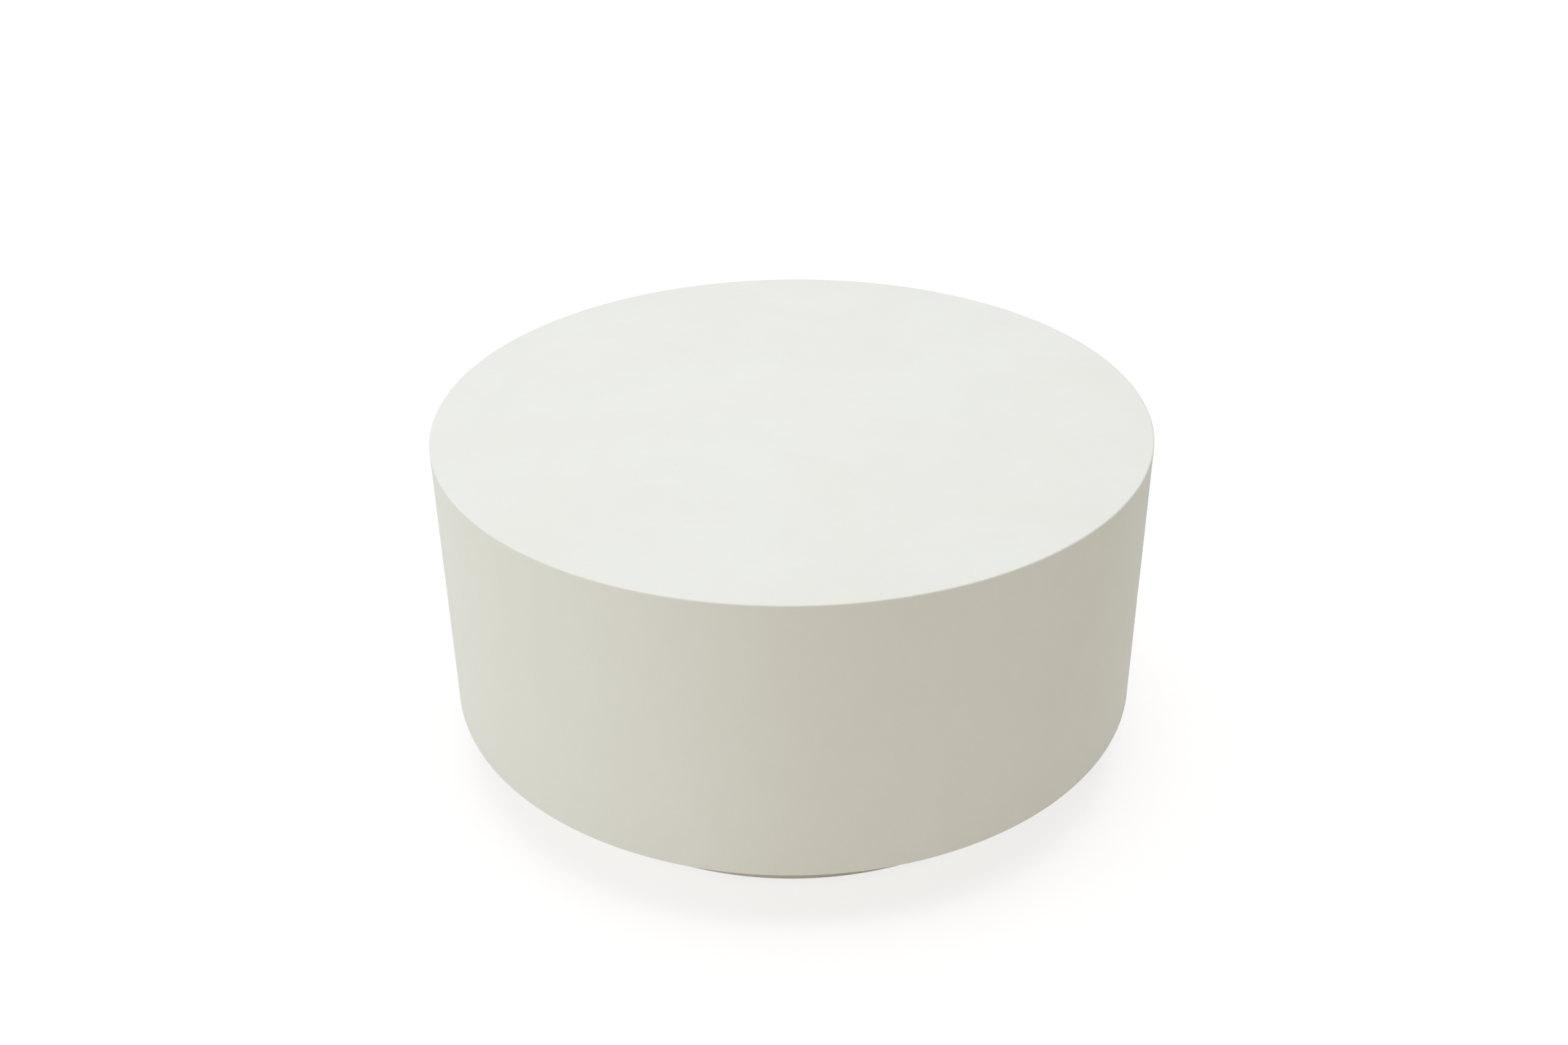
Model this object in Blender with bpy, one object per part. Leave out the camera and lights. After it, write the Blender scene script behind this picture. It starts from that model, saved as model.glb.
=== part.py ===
"""A hollow concrete drum table on a recessed plinth with four levelling feet.

Metres, +Z up. The origin lies on the floor, on the drum's axis, with the feet screwed fully in.
Every height is stacked up from the floor, and every radius is worked in from the drum's side.
"""

from math import acos, cos, degrees, pi, radians, sin, sqrt, tau

import bmesh
import bpy
from mathutils import Matrix, Vector

# Clearance between pieces that touch, and how far a cutter runs past a face
SEAT_GAP = 0.0003
CUT_MARGIN = 0.001

# Drum casting: top and side are one piece
DRUM_RADIUS = 0.400
DRUM_HEIGHT = 0.325
TOP_THICKNESS = 0.024
WALL_THICKNESS = 0.018
TOP_ARRIS = 0.002
RIM_ARRIS = 0.002
CEILING_FILLET = 0.020

# Lugs inside the drum's wall, which take the base board's bolts
LUG_COUNT = 6
LUG_WIDTH = 0.064
LUG_DEPTH = 0.052
LUG_COVER = 0.010
LUG_RISE = 0.026

# Base board
BOARD_THICKNESS = 0.018
BOARD_RECESS = 0.012
BOARD_EDGE_GAP = 0.002
BOARD_CHAMFER = 0.001
HAND_HOLE_RADIUS = 0.150

# Gaskets above and below the board
BASE_GASKET_THICKNESS = 0.003
BASE_GASKET_MARGIN = 0.006
PLINTH_GASKET_THICKNESS = 0.002
PLINTH_GASKET_MARGIN = 0.002

# Flange bolts and the blind inserts that they screw into
BOLT_RADIUS = 0.004
BOLT_HOLE_CLEARANCE = 0.0005
BOLT_TIP_CHAMFER = 0.0008
BOLT_FLANGE_RADIUS = 0.0085
BOLT_FLANGE_THICKNESS = 0.0016
BOLT_HEAD_HEIGHT = 0.008
BOLT_FLAT_RADIUS = 0.0065
THREAD_ENGAGEMENT = 0.024
BORE_SPARE = 0.010
INSERT_END = 0.006
INSERT_WALL = 0.0027

# Plinth ring
SPANNER_ROOM = 0.0225
INSERT_COVER = 0.0067
PLINTH_FLOOR_GAP = 0.004
PLINTH_ARRIS = 0.002
PLINTH_BOLT_COUNT = 6
FLANGE_THICKNESS = 0.022
STEM_HEADROOM = 0.015

# Levelling feet
FOOT_COUNT = 4
FOOT_TRAVEL = 0.012
SOLE_THICKNESS = 0.003
SOLE_INSET = 0.001
SOLE_CHAMFER = 0.0005
PAD_RADIUS = 0.022
PAD_ROOM = 0.014
PAD_EDGE = 0.0035
PAD_FLOOR = 0.0012
PAD_SOCKET_WALL = 0.004
PAD_LIP = 0.0025
BALL_RADIUS = 0.0047
BALL_SHOULDER = 0.0013
MOUTH_ROOM = 0.0006
NECK_SHOWING = 0.001
STEM_RADIUS = 0.005
STEM_TIP_CHAMFER = 0.001
STEM_SPARE = 0.008
COLLAR_HEIGHT = 0.006
NUT_WALL = 0.0035
NUT_HEIGHT = 0.005
SLEEVE_WALL = 0.0027
SLEEVE_COLLAR_LIP = 0.006
SLEEVE_COLLAR_THICKNESS = 0.0021

# Facets round each kind of piece; those with flats need a multiple of six
DRUM_SEGMENTS = 96
RING_SEGMENTS = 72
PAD_SEGMENTS = 24
FASTENER_SEGMENTS = 12
ARRIS_STEPS = 2
FILLET_STEPS = 3
BALL_STEPS = 4
BALL_LOWEST_RING = -60
HEXAGON = 6
SHARP_ANGLE = radians(35)

# Heights from the floor up through a foot to the board
PAD_BOTTOM = SOLE_THICKNESS + SEAT_GAP
SOCKET_RADIUS = BALL_RADIUS + SEAT_GAP
NECK_RADIUS = BALL_RADIUS - BALL_SHOULDER
MOUTH_RADIUS = NECK_RADIUS + MOUTH_ROOM
BALL_CENTRE = PAD_BOTTOM + PAD_FLOOR + SOCKET_RADIUS
MOUTH_HEIGHT = BALL_CENTRE + sqrt(SOCKET_RADIUS**2 - MOUTH_RADIUS**2)
PAD_TOP = MOUTH_HEIGHT + PAD_LIP
COLLAR_BOTTOM = PAD_TOP + NECK_SHOWING
COLLAR_TOP = COLLAR_BOTTOM + COLLAR_HEIGHT
NUT_BOTTOM = COLLAR_TOP + SEAT_GAP
NUT_TOP = NUT_BOTTOM + NUT_HEIGHT
SLEEVE_BOTTOM = NUT_TOP + SEAT_GAP
SLEEVE_SHOULDER = SLEEVE_BOTTOM + SLEEVE_COLLAR_THICKNESS
FLANGE_BOTTOM = SLEEVE_SHOULDER + SEAT_GAP
FLANGE_TOP = FLANGE_BOTTOM + FLANGE_THICKNESS
STEM_TOP = FLANGE_TOP + FOOT_TRAVEL + STEM_SPARE
BOARD_BOTTOM = STEM_TOP + STEM_HEADROOM

# Heights from the board to the table top
BOARD_TOP = BOARD_BOTTOM + BOARD_THICKNESS
PLINTH_GASKET_TOP = BOARD_BOTTOM - SEAT_GAP
PLINTH_GASKET_BOTTOM = PLINTH_GASKET_TOP - PLINTH_GASKET_THICKNESS
PLINTH_TOP = PLINTH_GASKET_BOTTOM - SEAT_GAP
BASE_GASKET_BOTTOM = BOARD_TOP + SEAT_GAP
BASE_GASKET_TOP = BASE_GASKET_BOTTOM + BASE_GASKET_THICKNESS
LUG_BOTTOM = BASE_GASKET_TOP + SEAT_GAP
RIM_HEIGHT = BOARD_BOTTOM - BOARD_RECESS
TABLE_HEIGHT = RIM_HEIGHT + DRUM_HEIGHT
CEILING_HEIGHT = TABLE_HEIGHT - TOP_THICKNESS

# Sizes of the fixings
INSERT_BORE_RADIUS = BOLT_RADIUS + SEAT_GAP
INSERT_RADIUS = INSERT_BORE_RADIUS + INSERT_WALL
INSERT_BORE_DEPTH = THREAD_ENGAGEMENT + BORE_SPARE
INSERT_LENGTH = INSERT_BORE_DEPTH + INSERT_END
BOLT_HOLE_RADIUS = BOLT_RADIUS + BOLT_HOLE_CLEARANCE
SLEEVE_BORE_RADIUS = STEM_RADIUS + SEAT_GAP
SLEEVE_RADIUS = SLEEVE_BORE_RADIUS + SLEEVE_WALL
SLEEVE_COLLAR_RADIUS = SLEEVE_RADIUS + SLEEVE_COLLAR_LIP
NUT_FLAT_RADIUS = STEM_RADIUS + NUT_WALL

# Radii from the drum's side in to the feet
DRUM_INNER_RADIUS = DRUM_RADIUS - WALL_THICKNESS
LUG_TIP_RADIUS = DRUM_INNER_RADIUS - LUG_DEPTH
DRUM_BOLT_CIRCLE = DRUM_INNER_RADIUS - LUG_DEPTH / 2
BOARD_RADIUS = DRUM_INNER_RADIUS - BOARD_EDGE_GAP
PLINTH_RADIUS = DRUM_BOLT_CIRCLE - BOLT_FLANGE_RADIUS - SPANNER_ROOM
PLINTH_WALL = 2 * (INSERT_RADIUS + SEAT_GAP + INSERT_COVER)
PLINTH_INNER_RADIUS = PLINTH_RADIUS - PLINTH_WALL
PLINTH_BOLT_CIRCLE = PLINTH_RADIUS - PLINTH_WALL / 2
FLANGE_LAND = PAD_RADIUS + PAD_ROOM
FOOT_CIRCLE = PLINTH_INNER_RADIUS - FLANGE_LAND
FLANGE_INNER_RADIUS = FOOT_CIRCLE - FLANGE_LAND


def spots(count, radius, start):
    """Points (x, y) evenly round a circle, from the angle start."""
    angles = [start + tau * i / count for i in range(count)]
    return [Vector((radius * cos(a), radius * sin(a))) for a in angles]


# The lugs start on +X, the plinth's bolts sit between them, and the feet sit on the diagonals
LUG_START = 0.0
DRUM_BOLT_SPOTS = spots(LUG_COUNT, DRUM_BOLT_CIRCLE, LUG_START)
PLINTH_BOLT_SPOTS = spots(PLINTH_BOLT_COUNT, PLINTH_BOLT_CIRCLE, LUG_START + pi / LUG_COUNT)
FOOT_SPOTS = spots(FOOT_COUNT, FOOT_CIRCLE, pi / FOOT_COUNT)


def clear_scene():
    for obj in list(bpy.data.objects):
        bpy.data.objects.remove(obj, do_unlink=True)


def material(name, color, roughness, metallic=0.0):
    made = bpy.data.materials.new(name)
    made.use_nodes = True
    shader = made.node_tree.nodes["Principled BSDF"]
    shader.inputs["Base Color"].default_value = (*color, 1.0)
    shader.inputs["Roughness"].default_value = roughness
    shader.inputs["Metallic"].default_value = metallic
    return made


def arc(centre_radius, centre_height, radius, start, end, steps):
    """Profile points along an arc, with angles in degrees from the outward direction."""
    angles = [radians(start + (end - start) * i / steps) for i in range(steps + 1)]
    return [(centre_radius + radius * cos(a), centre_height + radius * sin(a)) for a in angles]


def ring(bm, radius, height, segments, flats):
    """Vertices round Z: one point on the axis, a circle, or a polygon whose flats lie at the radius."""
    if radius == 0:
        return [bm.verts.new((0, 0, height))]
    side = tau / flats if flats else 0
    verts = []
    for i in range(segments):
        angle = tau * i / segments
        reach = radius / cos(angle % side - side / 2) if flats else radius
        verts.append(bm.verts.new((reach * cos(angle), reach * sin(angle), height)))
    return verts


def band(bm, first, second):
    """Faces between two rings, either of which may be a single point."""
    count = max(len(first), len(second))
    for i in range(count):
        j = (i + 1) % count
        corners = [first[i % len(first)], first[j % len(first)]]
        corners += [second[j % len(second)], second[i % len(second)]]
        bm.faces.new(list(dict.fromkeys(corners)))


def finished_mesh(name, bm, surface):
    """The mesh of a finished bmesh, with its faces pointing out and its round sides smooth."""
    bmesh.ops.recalc_face_normals(bm, faces=bm.faces)
    mesh = bpy.data.meshes.new(name)
    bm.to_mesh(mesh)
    bm.free()
    mesh.shade_smooth()
    mesh.set_sharp_from_angle(angle=SHARP_ANGLE)
    mesh.materials.append(surface)
    return mesh


def turned(name, profile, segments, surface, hollow=False):
    """A mesh turned about Z from (radius, height) points; a third number gives a ring flats.

    A solid piece's profile starts and ends on the axis, and a hollow one's closes on itself.
    """
    bm = bmesh.new()
    rings = []
    for radius, height, *flats in profile:
        rings.append(ring(bm, radius, height, segments, flats[0] if flats else 0))
    following = rings[1:] + rings[:1] if hollow else rings[1:]
    for first, second in zip(rings, following):
        band(bm, first, second)
    return finished_mesh(name, bm, surface)


def place(name, mesh, spot=(0, 0), parent=None):
    """An object with the mesh, upright at the spot, or on its parent's axis."""
    obj = bpy.data.objects.new(name, mesh)
    bpy.context.collection.objects.link(obj)
    obj.location = (*spot, 0)
    obj.parent = parent
    return obj


def place_all(name, mesh, places):
    for number, spot in enumerate(places, 1):
        place(f"{name}_{number}", mesh, spot)


def combine(target, name, bm, surface, operation):
    """Joins the shapes of a bmesh to the target, or cuts them out of it."""
    tool = place(name, finished_mesh(name, bm, surface))
    tool.hide_render = True
    tool.display_type = "WIRE"
    modifier = target.modifiers.new(name, "BOOLEAN")
    modifier.operation = operation
    modifier.object = tool


def drill(target, name, places, radius, bottom, top, surface):
    """Cuts an upright round hole at each place."""
    bm = bmesh.new()
    for x, y in places:
        bmesh.ops.create_cone(
            bm,
            cap_ends=True,
            segments=FASTENER_SEGMENTS,
            radius1=radius,
            radius2=radius,
            depth=top - bottom,
            matrix=Matrix.Translation((x, y, (top + bottom) / 2)),
        )
    combine(target, name, bm, surface, "DIFFERENCE")


def flat_ring(name, inner, outer, bottom, top, surface):
    profile = [(outer, top), (outer, bottom), (inner, bottom), (inner, top)]
    return place(name, turned(name, profile, RING_SEGMENTS, surface, hollow=True))


def lug_shapes():
    """Corbels with sloping tops that reach from inside the wall to the lugs' tips."""
    root = DRUM_INNER_RADIUS + WALL_THICKNESS / 2
    tip_top = LUG_BOTTOM + INSERT_LENGTH + SEAT_GAP + LUG_COVER
    outline = [
        (LUG_TIP_RADIUS, LUG_BOTTOM),
        (root, LUG_BOTTOM),
        (root, tip_top + LUG_RISE),
        (LUG_TIP_RADIUS, tip_top),
    ]
    bm = bmesh.new()
    for number in range(LUG_COUNT):
        turn = Matrix.Rotation(LUG_START + tau * number / LUG_COUNT, 3, "Z")
        corners = [bm.verts.new(turn @ Vector((r, -LUG_WIDTH / 2, z))) for r, z in outline]
        side = bm.faces.new(corners)
        grown = bmesh.ops.extrude_face_region(bm, geom=[side])["geom"]
        moved = [item for item in grown if isinstance(item, bmesh.types.BMVert)]
        bmesh.ops.translate(bm, verts=moved, vec=turn @ Vector((0, LUG_WIDTH, 0)))
    return bm


def build_drum(concrete):
    profile = [(0, TABLE_HEIGHT)]
    profile += arc(DRUM_RADIUS - TOP_ARRIS, TABLE_HEIGHT - TOP_ARRIS, TOP_ARRIS, 90, 0, ARRIS_STEPS)
    profile += arc(DRUM_RADIUS - RIM_ARRIS, RIM_HEIGHT + RIM_ARRIS, RIM_ARRIS, 0, -90, ARRIS_STEPS)
    profile += [(DRUM_INNER_RADIUS, RIM_HEIGHT)]
    fillet_centre = DRUM_INNER_RADIUS - CEILING_FILLET
    profile += arc(fillet_centre, CEILING_HEIGHT - CEILING_FILLET, CEILING_FILLET, 0, 90, FILLET_STEPS)
    profile += [(0, CEILING_HEIGHT)]
    drum = place("drum_shell", turned("drum_shell", profile, DRUM_SEGMENTS, concrete))
    combine(drum, "lug_shapes", lug_shapes(), concrete, "UNION")
    hole_top = LUG_BOTTOM + INSERT_LENGTH + SEAT_GAP
    drill(
        drum,
        "drum_insert_holes",
        DRUM_BOLT_SPOTS,
        INSERT_RADIUS + SEAT_GAP,
        LUG_BOTTOM - CUT_MARGIN,
        hole_top,
        concrete,
    )


def build_board(plywood):
    edge = BOARD_RADIUS - BOARD_CHAMFER
    profile = [
        (edge, BOARD_TOP),
        (BOARD_RADIUS, BOARD_TOP - BOARD_CHAMFER),
        (BOARD_RADIUS, BOARD_BOTTOM + BOARD_CHAMFER),
        (edge, BOARD_BOTTOM),
        (HAND_HOLE_RADIUS, BOARD_BOTTOM),
        (HAND_HOLE_RADIUS, BOARD_TOP),
    ]
    board = place("base_disc", turned("base_disc", profile, RING_SEGMENTS, plywood, hollow=True))
    drill(
        board,
        "board_bolt_holes",
        DRUM_BOLT_SPOTS + PLINTH_BOLT_SPOTS,
        BOLT_HOLE_RADIUS,
        BOARD_BOTTOM - CUT_MARGIN,
        BOARD_TOP + CUT_MARGIN,
        plywood,
    )


def build_gaskets(foam, rubber):
    base = flat_ring(
        "base_gasket",
        LUG_TIP_RADIUS + BASE_GASKET_MARGIN,
        DRUM_INNER_RADIUS - BASE_GASKET_MARGIN,
        BASE_GASKET_BOTTOM,
        BASE_GASKET_TOP,
        foam,
    )
    drill(
        base,
        "base_gasket_holes",
        DRUM_BOLT_SPOTS,
        BOLT_HOLE_RADIUS,
        BASE_GASKET_BOTTOM - CUT_MARGIN,
        BASE_GASKET_TOP + CUT_MARGIN,
        foam,
    )
    lower = flat_ring(
        "plinth_gasket",
        PLINTH_INNER_RADIUS + PLINTH_GASKET_MARGIN,
        PLINTH_RADIUS - PLINTH_GASKET_MARGIN,
        PLINTH_GASKET_BOTTOM,
        PLINTH_GASKET_TOP,
        rubber,
    )
    drill(
        lower,
        "plinth_gasket_holes",
        PLINTH_BOLT_SPOTS,
        BOLT_HOLE_RADIUS,
        PLINTH_GASKET_BOTTOM - CUT_MARGIN,
        PLINTH_GASKET_TOP + CUT_MARGIN,
        rubber,
    )


def build_plinth(concrete):
    edge = PLINTH_RADIUS - PLINTH_ARRIS
    profile = arc(edge, PLINTH_TOP - PLINTH_ARRIS, PLINTH_ARRIS, 90, 0, ARRIS_STEPS)
    profile += arc(edge, PLINTH_FLOOR_GAP + PLINTH_ARRIS, PLINTH_ARRIS, 0, -90, ARRIS_STEPS)
    profile += [
        (PLINTH_INNER_RADIUS, PLINTH_FLOOR_GAP),
        (PLINTH_INNER_RADIUS, FLANGE_BOTTOM),
        (FLANGE_INNER_RADIUS, FLANGE_BOTTOM),
        (FLANGE_INNER_RADIUS, FLANGE_TOP),
        (PLINTH_INNER_RADIUS, FLANGE_TOP),
        (PLINTH_INNER_RADIUS, PLINTH_TOP),
    ]
    plinth = place("plinth_ring", turned("plinth_ring", profile, RING_SEGMENTS, concrete, hollow=True))
    drill(
        plinth,
        "plinth_insert_holes",
        PLINTH_BOLT_SPOTS,
        INSERT_RADIUS + SEAT_GAP,
        PLINTH_TOP - INSERT_LENGTH - SEAT_GAP,
        PLINTH_TOP + CUT_MARGIN,
        concrete,
    )
    drill(
        plinth,
        "foot_sleeve_holes",
        FOOT_SPOTS,
        SLEEVE_RADIUS + SEAT_GAP,
        FLANGE_BOTTOM - CUT_MARGIN,
        FLANGE_TOP + CUT_MARGIN,
        concrete,
    )


def bolt_profile(seat, tip, up):
    """A flange bolt whose head seats at one height and whose shank ends at another; up is 1 or -1."""
    flange = seat - up * BOLT_FLANGE_THICKNESS
    return [
        (0, tip),
        (BOLT_RADIUS - BOLT_TIP_CHAMFER, tip),
        (BOLT_RADIUS, tip - up * BOLT_TIP_CHAMFER),
        (BOLT_RADIUS, seat),
        (BOLT_FLANGE_RADIUS, seat),
        (BOLT_FLANGE_RADIUS, flange),
        (BOLT_FLAT_RADIUS, flange, HEXAGON),
        (BOLT_FLAT_RADIUS, seat - up * BOLT_HEAD_HEIGHT, HEXAGON),
        (0, seat - up * BOLT_HEAD_HEIGHT),
    ]


def insert_profile(mouth, up):
    """A blind ferrule from its mouth to its closed end; up is 1 or -1."""
    return [
        (0, mouth + up * INSERT_LENGTH),
        (INSERT_RADIUS, mouth + up * INSERT_LENGTH),
        (INSERT_RADIUS, mouth),
        (INSERT_BORE_RADIUS, mouth),
        (INSERT_BORE_RADIUS, mouth + up * INSERT_BORE_DEPTH),
        (0, mouth + up * INSERT_BORE_DEPTH),
    ]


def build_fixings(plated, bright):
    seat = BOARD_BOTTOM - SEAT_GAP
    profile = bolt_profile(seat, LUG_BOTTOM + THREAD_ENGAGEMENT, 1)
    place_all("drum_bolt", turned("drum_bolt", profile, FASTENER_SEGMENTS, plated), DRUM_BOLT_SPOTS)
    profile = insert_profile(LUG_BOTTOM, 1)
    place_all("drum_insert", turned("drum_insert", profile, FASTENER_SEGMENTS, bright), DRUM_BOLT_SPOTS)
    seat = BOARD_TOP + SEAT_GAP
    profile = bolt_profile(seat, PLINTH_TOP - THREAD_ENGAGEMENT, -1)
    place_all("plinth_bolt", turned("plinth_bolt", profile, FASTENER_SEGMENTS, plated), PLINTH_BOLT_SPOTS)
    profile = insert_profile(PLINTH_TOP, -1)
    place_all("plinth_insert", turned("plinth_insert", profile, FASTENER_SEGMENTS, bright), PLINTH_BOLT_SPOTS)


def stem_profile():
    """Ball end, neck, hexagon collar and threaded stem, from the bottom up."""
    neck = degrees(acos(NECK_RADIUS / BALL_RADIUS))
    profile = [(0, BALL_CENTRE - BALL_RADIUS)]
    profile += arc(0, BALL_CENTRE, BALL_RADIUS, BALL_LOWEST_RING, neck, BALL_STEPS)
    profile += [
        (NECK_RADIUS, COLLAR_BOTTOM),
        (NUT_FLAT_RADIUS, COLLAR_BOTTOM, HEXAGON),
        (NUT_FLAT_RADIUS, COLLAR_TOP, HEXAGON),
        (STEM_RADIUS, COLLAR_TOP),
        (STEM_RADIUS, STEM_TOP - STEM_TIP_CHAMFER),
        (STEM_RADIUS - STEM_TIP_CHAMFER, STEM_TOP),
        (0, STEM_TOP),
    ]
    return profile


def pad_profile():
    """Flat underside, coned outside and an undercut socket that holds the ball."""
    mouth = degrees(acos(MOUTH_RADIUS / SOCKET_RADIUS))
    profile = [
        (0, PAD_BOTTOM),
        (PAD_RADIUS, PAD_BOTTOM),
        (PAD_RADIUS, PAD_BOTTOM + PAD_EDGE),
        (SOCKET_RADIUS + PAD_SOCKET_WALL, PAD_TOP),
        (MOUTH_RADIUS, PAD_TOP),
    ]
    profile += arc(0, BALL_CENTRE, SOCKET_RADIUS, mouth, BALL_LOWEST_RING, BALL_STEPS)
    profile += [(0, BALL_CENTRE - SOCKET_RADIUS)]
    return profile


def sole_profile():
    radius = PAD_RADIUS - SOLE_INSET
    return [
        (0, 0),
        (radius - SOLE_CHAMFER, 0),
        (radius, SOLE_CHAMFER),
        (radius, SOLE_THICKNESS),
        (0, SOLE_THICKNESS),
    ]


def sleeve_profile():
    """A threaded sleeve in the plinth's flange, with a collar that bears up on the flange."""
    return [
        (SLEEVE_COLLAR_RADIUS, SLEEVE_BOTTOM),
        (SLEEVE_COLLAR_RADIUS, SLEEVE_SHOULDER),
        (SLEEVE_RADIUS, SLEEVE_SHOULDER),
        (SLEEVE_RADIUS, FLANGE_TOP),
        (SLEEVE_BORE_RADIUS, FLANGE_TOP),
        (SLEEVE_BORE_RADIUS, SLEEVE_BOTTOM),
    ]


def lock_nut_profile():
    return [
        (NUT_FLAT_RADIUS, NUT_BOTTOM, HEXAGON),
        (NUT_FLAT_RADIUS, NUT_TOP, HEXAGON),
        (SLEEVE_BORE_RADIUS, NUT_TOP),
        (SLEEVE_BORE_RADIUS, NUT_BOTTOM),
    ]


def build_feet(bright, plated, nylon, rubber):
    sleeve = turned("foot_insert", sleeve_profile(), FASTENER_SEGMENTS, bright, hollow=True)
    place_all("foot_insert", sleeve, FOOT_SPOTS)
    nut = turned("foot_lock_nut", lock_nut_profile(), FASTENER_SEGMENTS, plated, hollow=True)
    place_all("foot_lock_nut", nut, FOOT_SPOTS)
    stem = turned("foot_stem", stem_profile(), FASTENER_SEGMENTS, plated)
    pad = turned("foot_pad", pad_profile(), PAD_SEGMENTS, nylon)
    sole = turned("foot_sole", sole_profile(), PAD_SEGMENTS, rubber)
    for number, spot in enumerate(FOOT_SPOTS, 1):
        axis = place(f"foot_axis_{number}", None, spot)
        place(f"foot_stem_{number}", stem, parent=axis)
        place(f"foot_pad_{number}", pad, parent=axis)
        place(f"foot_sole_{number}", sole, parent=axis)


def main():
    clear_scene()
    build_drum(material("drum_concrete", (0.80, 0.80, 0.76), 0.62))
    build_plinth(material("plinth_concrete", (0.74, 0.73, 0.68), 0.70))
    build_board(material("plywood", (0.52, 0.36, 0.20), 0.60))
    foam = material("black_foam", (0.03, 0.03, 0.03), 0.90)
    rubber = material("black_rubber", (0.02, 0.02, 0.02), 0.80)
    build_gaskets(foam, rubber)
    plated = material("zinc_plated_steel", (0.62, 0.62, 0.60), 0.35, 1.0)
    bright = material("bright_steel", (0.55, 0.55, 0.56), 0.40, 1.0)
    build_fixings(plated, bright)
    nylon = material("black_nylon", (0.04, 0.04, 0.04), 0.50)
    build_feet(bright, plated, nylon, rubber)


main()
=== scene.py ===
"""The looks of a round concrete coffee table: castings, base board, gaskets, fixings and levelling feet.

Metres, +Z up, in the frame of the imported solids. Every piece is a fine mesh that stands for one solid.
Flat and round faces are tiled with triangles, and meet turned edges, lugs and holes at shared corners.
"""

from math import acos, asin, atan2, ceil, cos, degrees, floor, hypot, pi, radians, sin, sqrt, tan, tau
from random import Random

import bmesh
import bpy
from mathutils import Matrix, Vector, noise
from mathutils.geometry import delaunay_2d_cdt


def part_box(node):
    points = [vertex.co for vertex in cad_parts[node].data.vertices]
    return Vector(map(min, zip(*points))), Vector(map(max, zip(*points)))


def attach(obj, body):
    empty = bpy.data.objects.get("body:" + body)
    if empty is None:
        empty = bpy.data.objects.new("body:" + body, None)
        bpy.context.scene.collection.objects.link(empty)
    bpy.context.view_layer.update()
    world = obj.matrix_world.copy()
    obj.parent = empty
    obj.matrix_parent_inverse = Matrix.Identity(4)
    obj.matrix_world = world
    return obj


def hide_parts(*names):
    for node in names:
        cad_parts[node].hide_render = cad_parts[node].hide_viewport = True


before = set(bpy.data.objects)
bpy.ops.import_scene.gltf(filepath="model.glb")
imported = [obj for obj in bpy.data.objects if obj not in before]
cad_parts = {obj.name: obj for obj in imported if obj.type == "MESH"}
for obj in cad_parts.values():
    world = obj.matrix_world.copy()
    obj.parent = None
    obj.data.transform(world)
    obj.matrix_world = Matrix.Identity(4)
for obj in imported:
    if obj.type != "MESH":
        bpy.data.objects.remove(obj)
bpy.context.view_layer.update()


def extent(node):
    """Half a node's width across Y, where hexagons have their flats, and its bottom and top."""
    low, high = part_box(node)
    return (high.y - low.y) / 2, low.z, high.z


def spots(name):
    """Where the numbered nodes of one name stand."""
    count = sum(node.startswith(f"{name}_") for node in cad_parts)
    boxes = [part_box(f"{name}_{number}") for number in range(1, count + 1)]
    return [((low.x + high.x) / 2, (low.y + high.y) / 2) for low, high in boxes]


# Sizes and places that the solids give
DRUM_RADIUS, RIM_HEIGHT, TABLE_HEIGHT = extent("drum_shell")
PLINTH_RADIUS, PLINTH_BOTTOM, PLINTH_TOP = extent("plinth_ring")
BOARD_RADIUS, BOARD_BOTTOM, BOARD_TOP = extent("base_disc")
BOLT_FLANGE_RADIUS = extent("drum_bolt_1")[0]
FERRULE_RADIUS, LUG_BOTTOM, FERRULE_TOP = extent("drum_insert_1")
PLINTH_FERRULE_BOTTOM = extent("plinth_insert_1")[1]
SLEEVE_COLLAR_RADIUS, SLEEVE_BOTTOM, FLANGE_TOP = extent("foot_insert_1")
NUT_FLAT_RADIUS, NUT_BOTTOM, NUT_TOP = extent("foot_lock_nut_1")
BALL_BOTTOM, STEM_TOP = extent("foot_stem_1")[1:]
PAD_RADIUS, PAD_BOTTOM, PAD_TOP = extent("foot_pad_1")
SOLE_RADIUS, SOLE_BOTTOM = extent("foot_sole_1")[:2]
DRUM_BOLT_SPOTS = spots("drum_bolt")
PLINTH_BOLT_SPOTS = spots("plinth_bolt")
FOOT_SPOTS = spots("foot_stem")

SEAT_GAP = 0.0003

# Sizes inside the castings
WALL_THICKNESS = 0.018
TOP_THICKNESS = 0.024
TOP_ARRIS = 0.002
RIM_ARRIS = 0.002
INNER_ARRIS = 0.001
CEILING_FILLET = 0.020
LUG_WIDTH = 0.064
LUG_DEPTH = 0.052
LUG_COVER = 0.010
LUG_RISE = 0.026
LUG_CORNER = 0.006
FERRULE_HOLE_RADIUS = FERRULE_RADIUS + SEAT_GAP
PLINTH_WALL = 0.028
PLINTH_ARRIS = 0.002
PLINTH_FILLET = 0.004
FLANGE_WIDTH = 0.072
FLANGE_THICKNESS = 0.022

# Sizes of the board and gaskets
HAND_HOLE_RADIUS = 0.150
BOARD_EASE = 0.001
GASKET_EASE = 0.0006
BASE_GASKET_WIDTH = 0.040
PLINTH_GASKET_WIDTH = 0.024
BOLT_HOLE_RADIUS = 0.0045
HOLE_EASE = 0.0004

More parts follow.
